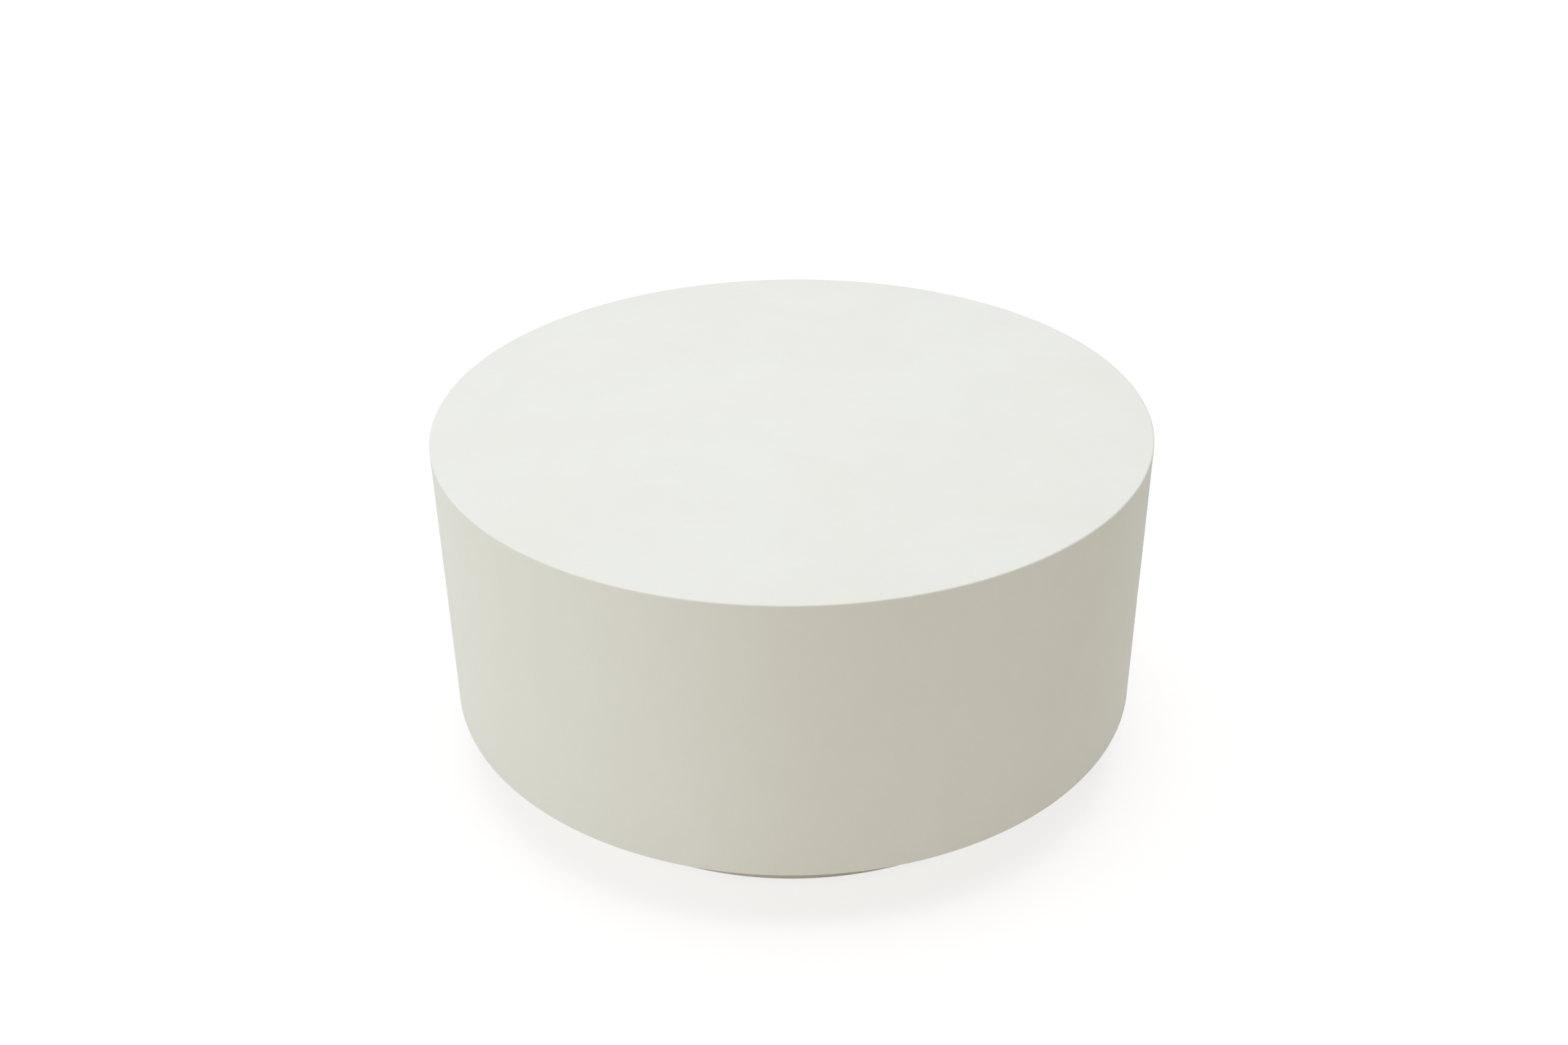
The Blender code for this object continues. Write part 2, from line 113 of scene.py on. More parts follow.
# Sizes of the bolts and ferrules
BOLT_RADIUS = 0.004
BOLT_PITCH = 0.00125
BOLT_PLAIN_SHANK = 0.010
BOLT_TIP_CHAMFER = 0.0009
BOLT_FLANGE_EDGE = 0.0012
BOLT_FLANGE_RISE = 0.0016
BOLT_FLANGE_EASE = 0.0004
BOLT_FLAT_RADIUS = 0.0065
FERRULE_BORE_RADIUS = BOLT_RADIUS + SEAT_GAP
FERRULE_BORE_DEPTH = 0.034
FERRULE_LIP = 0.001
FERRULE_END_CHAMFER = 0.0009
FERRULE_GROOVES = 4
FERRULE_GROOVE_DEPTH = 0.0006
BORE_CHAMFER = 0.0007

# Sizes of the feet
STEM_RADIUS = 0.005
STEM_PITCH = 0.0015
STEM_TIP_CHAMFER = 0.001
SLEEVE_RADIUS = 0.008
SLEEVE_HOLE_RADIUS = SLEEVE_RADIUS + SEAT_GAP
SLEEVE_BORE_RADIUS = STEM_RADIUS + SEAT_GAP
SLEEVE_COLLAR_EASE = 0.0005
COLLAR_HEIGHT = 0.006
BALL_RADIUS = 0.0047
NECK_RADIUS = 0.0034
MOUTH_RADIUS = 0.004
SOCKET_RADIUS = BALL_RADIUS + SEAT_GAP
SOCKET_WALL = 0.004
PAD_EDGE = 0.0035
PAD_ROUND = 0.0012
PAD_FLUTES = 16
PAD_FLUTE_DEPTH = 0.0007
SOLE_ROUND = 0.0006
SOLE_GROOVE_DEPTH = 0.0008
SOLE_GROOVE_WIDTH = 0.0016
SOLE_GROOVES = (0.006, 0.0105, 0.015)

# Forms that repeat: each point's share of the pitch, slope or width, and of the depth reached there
THREAD_FORM = ((0.0, 0.0), (0.25, 0.0), (0.5625, 1.0), (0.6875, 1.0))
FERRULE_GROOVE_FORM = ((-0.25, 0.0), (-0.125, 1.0), (0.125, 1.0), (0.25, 0.0))
PAD_FLUTE_FORM = ((0.08, 0.0), (0.2, 0.7), (0.4, 1.0), (0.6, 1.0), (0.8, 0.7), (0.92, 0.0))
SOLE_GROOVE_FORM = ((-0.5, 0.0), (-0.35, 1.0), (0.35, 1.0), (0.5, 0.0))

# Threads: depths are shares of the pitch, and spare turns are flattened at each end
THREAD_DEPTH = 0.55
INNER_THREAD_DEPTH = 0.5
INNER_THREAD_SHIFT = 0.5
TURNS_BELOW = 3
TURNS_ABOVE = 2

HEXAGON = 6
HEXAGON_CHAMFER = radians(30)
TOP_END = 1
BOTTOM_END = -1

# How finely the meshes are cut
DRUM_SEGMENTS = 360
PLINTH_SEGMENTS = 240
RING_SEGMENTS = 180
PAD_SEGMENTS = 96
FIXING_SEGMENTS = 36
HOLE_SEGMENTS = 24
EDGE_STEPS = 6
CORNER_STEPS = 5
BALL_STEPS = 15
LUG_ARC_STEPS = 8
FINE_SPACING = 0.0075
COARSE_SPACING = 0.016
LUG_MARGIN = COARSE_SPACING / 3
EDGE_HOLD = 0.0004
WELD = 2e-6
MERGE = 1e-7
INSIDE_OUTLINES = 1
SHARP_ANGLE = radians(32)
SEAM_ANGLE = pi / 2

# Pinholes that trapped air leaves in the cast faces; shapes and aprons are shares of a pinhole's radius
PIT_SIDES = 10
PIT_SHAPE = ((1.0, 0.0), (0.86, 0.5), (0.5, 0.9))
PIT_APRONS = ((2.5, 10), (6.0, 8))
PIT_CLEAR = 0.0065
PIT_MARGIN = 2 * PIT_CLEAR
PIT_DEPTH = 1.4
PIT_SMALLEST = 0.0002
PIT_SPREAD = 0.0003
PIT_RARITY = 3
PIT_UNEVEN = 0.18
TOP_PITS = 40
TOP_PIT_MARGIN = 3 * PIT_CLEAR
SIDE_PITS = 70
PLINTH_PITS = 24
RANDOM = Random(20)
# Those that show: x, y and radius on the top, then angle, height and radius on the side
SEEN_TOP_PITS = (
    (-0.0693, -0.1293, 0.00055),
    (-0.1119, -0.1128, 0.00052),
    (-0.0243, -0.0574, 0.00045),
    (-0.0865, -0.0840, 0.00034),
    (-0.1149, -0.2733, 0.00032),
    (0.1361, -0.0609, 0.00032),
)
SEEN_SIDE_PITS = (
    (radians(-86.1), 0.2902, 0.00048),
    (radians(-91.0), 0.1861, 0.00042),
    (radians(-95.7), 0.2474, 0.00036),
    (radians(-124.8), 0.2997, 0.00046),
)

# Slight waves in the cast faces, always inwards: each wave's length and its share of the depth up and down
WAVE_DEPTH = 0.0004
WAVES = ((0.21, 0.3), (0.083, 0.2))
WAVE_FADE = 0.020


def circle(radius, count, centre=(0.0, 0.0)):
    angles = [tau * i / count for i in range(count)]
    return [Vector((centre[0] + radius * cos(a), centre[1] + radius * sin(a))) for a in angles]


def arc(centre_radius, centre_height, radius, start, end, steps=CORNER_STEPS):
    """Profile points along an arc, with angles in degrees from the outward direction."""
    angles = [radians(start + (end - start) * i / steps) for i in range(steps + 1)]
    return [(centre_radius + radius * cos(a), centre_height + radius * sin(a)) for a in angles]


def hex_grid(low, high, spacing):
    """Points over a rectangle, in rows that are shifted half a step from each other."""
    rise = spacing * sqrt(3) / 2
    rows = int((high[1] - low[1]) / rise)
    columns = int((high[0] - low[0]) / spacing)
    points = []
    for row in range(rows + 1):
        shift = low[0] + row % 2 * spacing / 2
        points += [Vector((shift + i * spacing, low[1] + row * rise)) for i in range(columns + 1)]
    return points


def band(bm, first, second):
    """Faces between two closed rings, either of which may be a single point."""
    count = max(len(first), len(second))
    for i in range(count):
        j = (i + 1) % count
        corners = [first[i % len(first)], first[j % len(first)]]
        corners += [second[j % len(second)], second[i % len(second)]]
        bm.faces.new(list(dict.fromkeys(corners)))


def turn_round(bm, profile, segments=FIXING_SEGMENTS, centre=(0.0, 0.0)):
    """Bands round an upright axis through (radius, height) points, which may depend on the angle."""
    rings = []
    for step in profile:
        ring = []
        for i in range(segments):
            angle = tau * i / segments
            radius, height = step(angle) if callable(step) else step
            place = (centre[0] + radius * cos(angle), centre[1] + radius * sin(angle), height)
            ring.append(bm.verts.new(place))
            if radius == 0:
                break
        rings.append(ring)
    for first, second in zip(rings, rings[1:]):
        band(bm, first, second)


def tile(bm, outline, holes, points, lift):
    """Covers a flat outline, less its holes, with triangles between the points, and lifts them into space."""
    flat = []
    edges = []
    owners = []
    for number, loop in enumerate([outline, *holes]):
        first = len(flat)
        count = len(loop)
        flat += loop
        owners += [number] * count
        edges += [(first + i, first + (i + 1) % count) for i in range(count)]
    flat += points
    owners += [0] * len(points)
    corners, _, faces, sources, *_ = delaunay_2d_cdt(flat, edges, [], INSIDE_OUTLINES, MERGE)
    verts = [bm.verts.new(lift(*corner)) for corner in corners]
    for face in faces:
        touched = {owners[sources[i][0]] for i in face}
        fills_hole = len(touched) == 1 and touched != {0}
        if not fills_hole:
            bm.faces.new([verts[i] for i in face])


def pit_rim(u, v, radius):
    """An uneven ring round a pinhole."""
    reaches = [radius * RANDOM.uniform(1 - PIT_UNEVEN, 1 + PIT_UNEVEN) for _ in range(PIT_SIDES)]
    return [Vector((u, v)) + spoke * reach for spoke, reach in zip(circle(1, PIT_SIDES), reaches)]


def sink_pit(bm, rim, depth, lift):
    """A bowl below a rim that a tiled face leaves open."""
    middle = sum(rim, Vector((0, 0))) / len(rim)
    rings = []
    for share, fall in PIT_SHAPE:
        rings.append([bm.verts.new(lift(*middle.lerp(p, share), depth * fall)) for p in rim])
    rings.append([bm.verts.new(lift(*middle, depth))])
    for first, second in zip(rings, rings[1:]):
        band(bm, first, second)


def pitted(bm, outline, pits, points, lift):
    """A tiled face with pinholes, each (u, v, radius) on the flat."""
    rims = [pit_rim(*pit) for pit in pits]
    points = [p for p in points if all(hypot(p.x - u, p.y - v) > PIT_CLEAR for u, v, _ in pits)]
    for u, v, radius in pits:
        for spread, count in PIT_APRONS:
            points += circle(radius * spread, count, (u, v))
    tile(bm, outline, rims, points, lift)
    for rim, (_, _, radius) in zip(rims, pits):
        sink_pit(bm, rim, radius * PIT_DEPTH, lift)


def scatter(seen, count, draw):
    """The pinholes that show, and more drawn at random that keep clear of each other."""
    pits = list(seen)
    while len(pits) < count:
        u, v = draw()
        radius = PIT_SMALLEST + PIT_SPREAD * RANDOM.random() ** PIT_RARITY
        if all(hypot(u - a, v - b) > PIT_MARGIN for a, b, _ in pits):
            pits.append((u, v, radius))
    return pits


def disc(bm, radius, height, segments, spacing, pits=()):
    """A flat round face with pinholes that sink down from it."""
    reach = radius - spacing
    grid = hex_grid((-reach, -reach), (reach, reach), spacing)
    points = [p for p in grid if p.length < reach]
    points += circle(radius - EDGE_HOLD, segments)
    pitted(bm, circle(radius, segments), pits, points, lambda u, v, depth=0: (u, v, height - depth))


def annulus(bm, inner, outer, height, segments, spacing, holes=()):
    """A flat ring face with round holes, each (x, y, radius)."""
    def clear(p):
        edges = [outer - p.length, p.length - inner]
        return min(edges + [hypot(p.x - x, p.y - y) - radius for x, y, radius in holes])

    grid = hex_grid((-outer, -outer), (outer, outer), spacing)
    points = [p for p in grid if clear(p) > spacing / 2]
    loops = [circle(inner, segments)]
    loops += [circle(radius, HOLE_SEGMENTS, (x, y)) for x, y, radius in holes]
    tile(bm, circle(outer, segments), loops, points, lambda u, v: (u, v, height))


def strip_outline(length, bottom, top, segments, spacing):
    """The outline of a cylinder unrolled flat, with matching points on the two edges that meet."""
    step = length / segments
    levels = ceil((top - bottom) / spacing)
    rise = (top - bottom) / levels
    outline = [Vector((i * step, bottom)) for i in range(segments + 1)]
    outline += [Vector((length, bottom + i * rise)) for i in range(1, levels)]
    outline += [Vector((i * step, top)) for i in range(segments, -1, -1)]
    outline += [Vector((0, top - i * rise)) for i in range(1, levels)]
    return outline


def unrolled(angle, radius):
    """How far along an unrolled cylinder an angle lies."""
    return (angle - SEAM_ANGLE) % tau * radius


def on_cylinder(radius):
    """Maps a point on an unrolled cylinder to its place in space, at a depth below the face."""
    def lift(u, v, depth=0):
        angle = SEAM_ANGLE + u / radius
        return ((radius - depth) * cos(angle), (radius - depth) * sin(angle), v)

    return lift


def cylinder(bm, radius, bottom, top, segments, spacing, pits):
    """An upright round face with pinholes, each (length along, height, radius)."""
    length = tau * radius
    step = length / segments
    grid = hex_grid((step, bottom + spacing), (length - step, top - spacing), spacing)
    points = [p for p in grid if p.x < length - step / 2]
    for level in (bottom + EDGE_HOLD, top - EDGE_HOLD):
        points += [Vector((i * step, level)) for i in range(1, segments)]
    outline = strip_outline(length, bottom, top, segments, spacing)
    pitted(bm, outline, pits, points, on_cylinder(radius))


def thread(bm, bottom, top, root, crest, pitch, shift=0.0):
    """A right-hand screw thread that fades into plain rings of the root radius at both ends.

    Threads of one pitch are cut from one height, so a stem stays clear of its nut as it turns and travels.
    """
    rows = []
    for turn in range(floor(bottom / pitch) - TURNS_BELOW, ceil(top / pitch) + TURNS_ABOVE):
        for share, rise in THREAD_FORM:
            row = []
            for i in range(FIXING_SEGMENTS + 1):
                height = (turn + share + shift + i / FIXING_SEGMENTS) * pitch
                height = min(max(height, bottom), top)
                fade = min(1.0, (height - bottom) / pitch, (top - height) / pitch)
                radius = root + (crest - root) * rise * fade
                angle = tau * i / FIXING_SEGMENTS
                row.append(bm.verts.new((radius * cos(angle), radius * sin(angle), height)))
            rows.append(row)
    for first, second in zip(rows, rows[1:]):
        for i in range(FIXING_SEGMENTS):
            bm.faces.new((first[i], first[i + 1], second[i + 1], second[i]))


def hexagon(angle, flat):
    """How far a hexagon's side lies from its axis."""
    side = tau / HEXAGON
    return flat / cos(angle % side - side / 2)


def hex_corner(flat, height, end):
    """The ring where a hexagon's sides meet its chamfered top or bottom end."""
    slope = end * tan(HEXAGON_CHAMFER)
    return lambda angle: (hexagon(angle, flat), height - slope * (hexagon(angle, flat) - flat))


def hex_prism(flat, bottom, top):
    """Profile of a hexagon with both ends chamfered."""
    return [
        (flat, bottom),
        hex_corner(flat, bottom, BOTTOM_END),
        hex_corner(flat, top, TOP_END),
        (flat, top),
    ]


def finished(bm, name, surface):
    """The mesh of a finished piece, welded, with its faces pointing out and its round sides smooth."""
    bmesh.ops.remove_doubles(bm, verts=bm.verts, dist=WELD)
    bmesh.ops.recalc_face_normals(bm, faces=bm.faces)
    mesh = bpy.data.meshes.new(name)
    bm.to_mesh(mesh)
    bm.free()
    mesh.shade_smooth()
    mesh.set_sharp_from_angle(angle=SHARP_ANGLE)
    mesh.materials.append(surface)
    return mesh


def dress(mesh, node, number=None, place=(0, 0, 0), flipped=False, body="table"):
    """Stands a piece in a node's place, riding on its body. Like pieces share a mesh and are numbered."""
    name = mesh.name
    if number:
        name, node = f"{name}_{number}", f"{node}_{number}"
    piece = bpy.data.objects.new(name, mesh)
    bpy.context.collection.objects.link(piece)
    piece.location = place
    piece.rotation_euler.x = pi if flipped else 0
    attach(piece, body)
    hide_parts(node)


# Castings
INNER_RADIUS = DRUM_RADIUS - WALL_THICKNESS
LUG_TIP_RADIUS = INNER_RADIUS - LUG_DEPTH
LUG_HALF_ANGLE = asin(LUG_WIDTH / 2 / INNER_RADIUS)
LUG_SLOPE = LUG_RISE / (LUG_DEPTH + WALL_THICKNESS / 2)
LUG_ANGLES = [atan2(y, x) for x, y in DRUM_BOLT_SPOTS]
LUG_WALL_ANGLES = [LUG_HALF_ANGLE * (1 - 2 * i / LUG_ARC_STEPS) for i in range(LUG_ARC_STEPS + 1)]


def blind_hole(bm, radius, mouth, end, place):
    """The wall and the closed end of a hole in a casting."""
    turn_round(bm, [(radius, mouth), (radius, end), (0, end)], HOLE_SEGMENTS, place)


def lug_top(reach):
    """Height of a lug's sloping top at a distance out along the lug."""
    return FERRULE_TOP + SEAT_GAP + LUG_COVER + (reach - LUG_TIP_RADIUS) * LUG_SLOPE


def lug_footprint(angle):
    """Where a lug meets the unrolled wall."""
    tops = [(unrolled(angle + a, INNER_RADIUS), lug_top(INNER_RADIUS * cos(a))) for a in LUG_WALL_ANGLES]
    loop = [Vector((along, LUG_BOTTOM)) for along, _ in tops]
    return loop + [Vector(top) for top in reversed(tops)]


def beside(p, loop, margin):
    """Whether a flat point lies clear of the box round a loop."""
    def outside(value, reach):
        return not min(reach) - margin < value < max(reach) + margin

    return outside(p.x, [q.x for q in loop]) or outside(p.y, [q.y for q in loop])


def lug_plan():
    """A lug seen from above, from one side of its root round its tip to the other side."""
    root = INNER_RADIUS * cos(LUG_HALF_ANGLE)
    half = LUG_WIDTH / 2
    centre = LUG_TIP_RADIUS + LUG_CORNER
    plan = [(root, -half)]
    plan += arc(centre, -half + LUG_CORNER, LUG_CORNER, -90, -180)
    plan += arc(centre, half - LUG_CORNER, LUG_CORNER, 180, 90)
    plan += [(root, half)]
    return [Vector(p) for p in plan]


def build_lug(bm, angle, bolt_spot):
    """A corbel in the wall with rounded corners, a sloping top and a blind hole for its ferrule."""
    turn = Matrix.Rotation(angle, 3, "Z")
    plan = lug_plan()
    wall = [INNER_RADIUS * Vector((cos(a), sin(a))) for a in LUG_WALL_ANGLES[1:-1]]
    hole = circle(FERRULE_HOLE_RADIUS, HOLE_SEGMENTS, (hypot(*bolt_spot), 0))
    tile(bm, plan + wall, [hole], [], lambda u, v: turn @ Vector((u, v, LUG_BOTTOM)))
    tile(bm, plan + wall, [], [], lambda u, v: turn @ Vector((u, v, lug_top(u))))
    for first, second in zip(plan, plan[1:]):
        corners = [(*first, LUG_BOTTOM), (*second, LUG_BOTTOM)]
        corners += [(*second, lug_top(second.x)), (*first, lug_top(first.x))]
        bm.faces.new([bm.verts.new(turn @ Vector(corner)) for corner in corners])
    blind_hole(bm, FERRULE_HOLE_RADIUS, LUG_BOTTOM, FERRULE_TOP, bolt_spot)


def build_drum_inside(bm):
    """Rim, inner wall with its lugs, and the ceiling with the fillet round it."""
    ceiling = TABLE_HEIGHT - TOP_THICKNESS
    wall_bottom = RIM_HEIGHT + INNER_ARRIS
    wall_top = ceiling - CEILING_FILLET
    rim = [(DRUM_RADIUS - RIM_ARRIS, RIM_HEIGHT), (INNER_RADIUS + INNER_ARRIS, RIM_HEIGHT)]
    turn_round(bm, rim + [(INNER_RADIUS, wall_bottom)], DRUM_SEGMENTS)

    length = tau * INNER_RADIUS
    footprints = [lug_footprint(angle) for angle in LUG_ANGLES]
    low = (COARSE_SPACING, wall_bottom + COARSE_SPACING)
    grid = hex_grid(low, (length - 2 * COARSE_SPACING, wall_top - COARSE_SPACING), COARSE_SPACING)
    points = [p for p in grid if all(beside(p, f, LUG_MARGIN) for f in footprints)]
    outline = strip_outline(length, wall_bottom, wall_top, DRUM_SEGMENTS, COARSE_SPACING)
    tile(bm, outline, footprints, points, on_cylinder(INNER_RADIUS))
    for angle, bolt_spot in zip(LUG_ANGLES, DRUM_BOLT_SPOTS):
        build_lug(bm, angle, bolt_spot)

    ceiling_radius = INNER_RADIUS - CEILING_FILLET
    turn_round(bm, arc(ceiling_radius, wall_top, CEILING_FILLET, 0, 90, EDGE_STEPS), DRUM_SEGMENTS)
    disc(bm, ceiling_radius, ceiling, DRUM_SEGMENTS, COARSE_SPACING)


def ripple(place):
    """A smooth value from 0 to 1 that wanders over the casting."""
    return sum(share * (1 + noise.noise(place / length)) for length, share in WAVES)


def wave_outside(bm):
    """Sinks the outer faces by slight waves, square to the top, the side and the edge between them."""
    for vert in bm.verts:
        place = vert.co
        radius = hypot(place.x, place.y)
        out = max(radius - DRUM_RADIUS + TOP_ARRIS, 0)
        up = max(place.z - TABLE_HEIGHT + TOP_ARRIS, 0)
        if out > 0 or up > 0:
            normal = Vector((place.x * out, place.y * out, up * radius)).normalized()
            fade = min(1, max(0, (place.z - RIM_HEIGHT - RIM_ARRIS) / WAVE_FADE))
            vert.co = place - normal * WAVE_DEPTH * fade * ripple(place)


def draw_on_top():
    """Draws a place on the top, clear of its edge."""
    angle = RANDOM.uniform(0, tau)
    radius = (DRUM_RADIUS - TOP_PIT_MARGIN) * sqrt(RANDOM.random())
    return radius * cos(angle), radius * sin(angle)


def side_pits(seen, count, radius, bottom, top):
    """Pinholes on an unrolled cylinder, clear of its seam and edges. Those that show come with angles."""
    def draw():
        along = RANDOM.uniform(PIT_MARGIN, tau * radius - PIT_MARGIN)
        return along, RANDOM.uniform(bottom + PIT_MARGIN, top - PIT_MARGIN)

    flat = [(unrolled(angle, radius), height, size) for angle, height, size in seen]
    return scatter(flat, count, draw)


def build_drum(surface):
    """The hollow drum: top and side with pinholes and slight waves, rounded edges, and the inside."""
    bm = bmesh.new()
    edge = DRUM_RADIUS - TOP_ARRIS
    side_top = TABLE_HEIGHT - TOP_ARRIS
    side_bottom = RIM_HEIGHT + RIM_ARRIS
    pits = scatter(SEEN_TOP_PITS, TOP_PITS, draw_on_top)
    disc(bm, edge, TABLE_HEIGHT, DRUM_SEGMENTS, FINE_SPACING, pits)
    turn_round(bm, arc(edge, side_top, TOP_ARRIS, 90, 0, EDGE_STEPS), DRUM_SEGMENTS)
    pits = side_pits(SEEN_SIDE_PITS, SIDE_PITS, DRUM_RADIUS, side_bottom, side_top)
    cylinder(bm, DRUM_RADIUS, side_bottom, side_top, DRUM_SEGMENTS, FINE_SPACING, pits)
    rim = arc(DRUM_RADIUS - RIM_ARRIS, side_bottom, RIM_ARRIS, 0, -90, EDGE_STEPS)
    turn_round(bm, rim, DRUM_SEGMENTS)
    build_drum_inside(bm)
    wave_outside(bm)
    dress(finished(bm, "drum_casting", surface), "drum_shell")


def plinth_profiles(edge, inner, lip, flange_bottom):
    """The turned edges, inner faces and foot of the plinth, each from top to bottom."""
    side_top = PLINTH_TOP - PLINTH_ARRIS
    side_bottom = PLINTH_BOTTOM + PLINTH_ARRIS
    corner = inner - PLINTH_FILLET
    upper_corner = arc(corner, FLANGE_TOP + PLINTH_FILLET, PLINTH_FILLET, 0, -90)
    lower_corner = arc(corner, flange_bottom - PLINTH_FILLET, PLINTH_FILLET, 90, 0)
    foot = arc(edge, side_bottom, PLINTH_ARRIS, 0, -90, EDGE_STEPS)
    flange_edge = [
        (lip + INNER_ARRIS, FLANGE_TOP),
        (lip, FLANGE_TOP - INNER_ARRIS),
        (lip, flange_bottom + INNER_ARRIS),
        (lip + INNER_ARRIS, flange_bottom),
    ]
    return [
        arc(edge, side_top, PLINTH_ARRIS, 90, 0, EDGE_STEPS),
        foot + [(inner + INNER_ARRIS, PLINTH_BOTTOM)],
        [(inner + INNER_ARRIS, PLINTH_TOP), (inner, PLINTH_TOP - INNER_ARRIS)] + upper_corner,
        lower_corner + [(inner, PLINTH_BOTTOM + INNER_ARRIS), (inner + INNER_ARRIS, PLINTH_BOTTOM)],
        flange_edge,
    ]


def build_plinth(surface):
    """Outer ring with pinholes, and an inner flange that carries the feet's sleeves."""
    bm = bmesh.new()
    edge = PLINTH_RADIUS - PLINTH_ARRIS
    inner = PLINTH_RADIUS - PLINTH_WALL
    lip = inner - FLANGE_WIDTH
    flange_bottom = FLANGE_TOP - FLANGE_THICKNESS
    side = (PLINTH_RADIUS, PLINTH_BOTTOM + PLINTH_ARRIS, PLINTH_TOP - PLINTH_ARRIS)
    pits = side_pits((), PLINTH_PITS, *side)
    cylinder(bm, *side, PLINTH_SEGMENTS, FINE_SPACING, pits)
    ferrules = [(x, y, FERRULE_HOLE_RADIUS) for x, y in PLINTH_BOLT_SPOTS]
    annulus(bm, inner + INNER_ARRIS, edge, PLINTH_TOP, PLINTH_SEGMENTS, FINE_SPACING, ferrules)
    sleeves = [(x, y, SLEEVE_HOLE_RADIUS) for x, y in FOOT_SPOTS]
    for level in (FLANGE_TOP, flange_bottom):
        flange = (lip + INNER_ARRIS, inner - PLINTH_FILLET, level)
        annulus(bm, *flange, PLINTH_SEGMENTS, COARSE_SPACING, sleeves)
    for profile in plinth_profiles(edge, inner, lip, flange_bottom):
        turn_round(bm, profile, PLINTH_SEGMENTS)
    for place in PLINTH_BOLT_SPOTS:
        blind_hole(bm, FERRULE_HOLE_RADIUS, PLINTH_TOP, PLINTH_FERRULE_BOTTOM, place)
    for place in FOOT_SPOTS:
        hole = [(SLEEVE_HOLE_RADIUS, FLANGE_TOP), (SLEEVE_HOLE_RADIUS, flange_bottom)]
        turn_round(bm, hole, HOLE_SEGMENTS, place)
    dress(finished(bm, "plinth_casting", surface), "plinth_ring")


# Board and gaskets
def drilled_ring(name, inner, outer, bottom, top, ease, places, surface):
    """A flat ring with eased edges and a bolt hole at each place."""
    bm = bmesh.new()
    mouth = BOLT_HOLE_RADIUS + HOLE_EASE
    holes = [(x, y, mouth) for x, y in places]
    for level in (bottom, top):
        annulus(bm, inner + ease, outer - ease, level, RING_SEGMENTS, COARSE_SPACING, holes)
    for radius, turn in ((outer - ease, -90), (inner + ease, 90)):
        side = arc(radius, top - ease, ease, 90, 90 + turn)
        side += arc(radius, bottom + ease, ease, 90 + turn, 90 + 2 * turn)
        turn_round(bm, side, RING_SEGMENTS)
    for place in places:
        hole = [(mouth, top), (BOLT_HOLE_RADIUS, top - HOLE_EASE)]
        hole += [(BOLT_HOLE_RADIUS, bottom + HOLE_EASE), (mouth, bottom)]
        turn_round(bm, hole, HOLE_SEGMENTS, place)
    return finished(bm, name, surface)


def build_board(surface):
    places = DRUM_BOLT_SPOTS + PLINTH_BOLT_SPOTS
    size = (HAND_HOLE_RADIUS, BOARD_RADIUS, BOARD_BOTTOM, BOARD_TOP)
    mesh = drilled_ring("base_board", *size, BOARD_EASE, places, surface)
    dress(mesh, "base_disc")


def build_gaskets(foam_surface, rubber_surface):
    """A foam ring that the lugs press on the board, and a rubber ring between board and plinth."""
    outer = extent("base_gasket")[0]
    size = (outer - BASE_GASKET_WIDTH, outer, BOARD_TOP, LUG_BOTTOM)
    mesh = drilled_ring("foam_ring", *size, GASKET_EASE, DRUM_BOLT_SPOTS, foam_surface)
    dress(mesh, "base_gasket")
    outer = extent("plinth_gasket")[0]
    size = (outer - PLINTH_GASKET_WIDTH, outer, PLINTH_TOP, BOARD_BOTTOM)
    mesh = drilled_ring("rubber_ring", *size, GASKET_EASE, PLINTH_BOLT_SPOTS, rubber_surface)
    dress(mesh, "plinth_gasket")


# Fixings, each made along +Z from its seat or mouth at height zero
def bolt_mesh(name, head, length, surface):
    """A hexagon flange bolt with a chamfered head, a coned flange and a threaded shank."""
    bm = bmesh.new()
    root = BOLT_RADIUS - THREAD_DEPTH * BOLT_PITCH
    thread_bottom = BOLT_PLAIN_SHANK + BOLT_TIP_CHAMFER
    thread_top = length - BOLT_TIP_CHAMFER
    head_edge = -BOLT_FLANGE_EDGE - BOLT_FLANGE_RISE
    profile = [
        (0, -head),
        (BOLT_FLAT_RADIUS, -head),
        hex_corner(BOLT_FLAT_RADIUS, -head, BOTTOM_END),
        lambda angle: (hexagon(angle, BOLT_FLAT_RADIUS), head_edge),
        (BOLT_FLANGE_RADIUS - BOLT_FLANGE_EASE, -BOLT_FLANGE_EDGE),
        (BOLT_FLANGE_RADIUS, BOLT_FLANGE_EASE - BOLT_FLANGE_EDGE),
        (BOLT_FLANGE_RADIUS, 0),
        (BOLT_RADIUS, 0),
        (BOLT_RADIUS, BOLT_PLAIN_SHANK),
        (root, thread_bottom),
    ]
    turn_round(bm, profile)
    thread(bm, thread_bottom, thread_top, root, BOLT_RADIUS, BOLT_PITCH)
    tip = root - BOLT_TIP_CHAMFER / 2
    turn_round(bm, [(root, thread_top), (tip, length), (0, length)])
    return finished(bm, name, surface)


def ferrule_outside(length):
    """Profile of a ferrule's lip, its grooves and its closed end."""
    profile = [
        (FERRULE_BORE_RADIUS + BORE_CHAMFER, 0),
        (FERRULE_HOLE_RADIUS, 0),
        (FERRULE_HOLE_RADIUS, FERRULE_LIP),
        (FERRULE_RADIUS, FERRULE_LIP),
    ]
    pitch = (length - FERRULE_LIP) / (FERRULE_GROOVES + 1)
    for number in range(1, FERRULE_GROOVES + 1):
        for share, depth in FERRULE_GROOVE_FORM:
            height = FERRULE_LIP + (number + share) * pitch
            profile.append((FERRULE_RADIUS - depth * FERRULE_GROOVE_DEPTH, height))
    profile += [(FERRULE_RADIUS, length - FERRULE_END_CHAMFER)]
    profile += [(FERRULE_RADIUS - FERRULE_END_CHAMFER, length), (0, length)]
    return profile


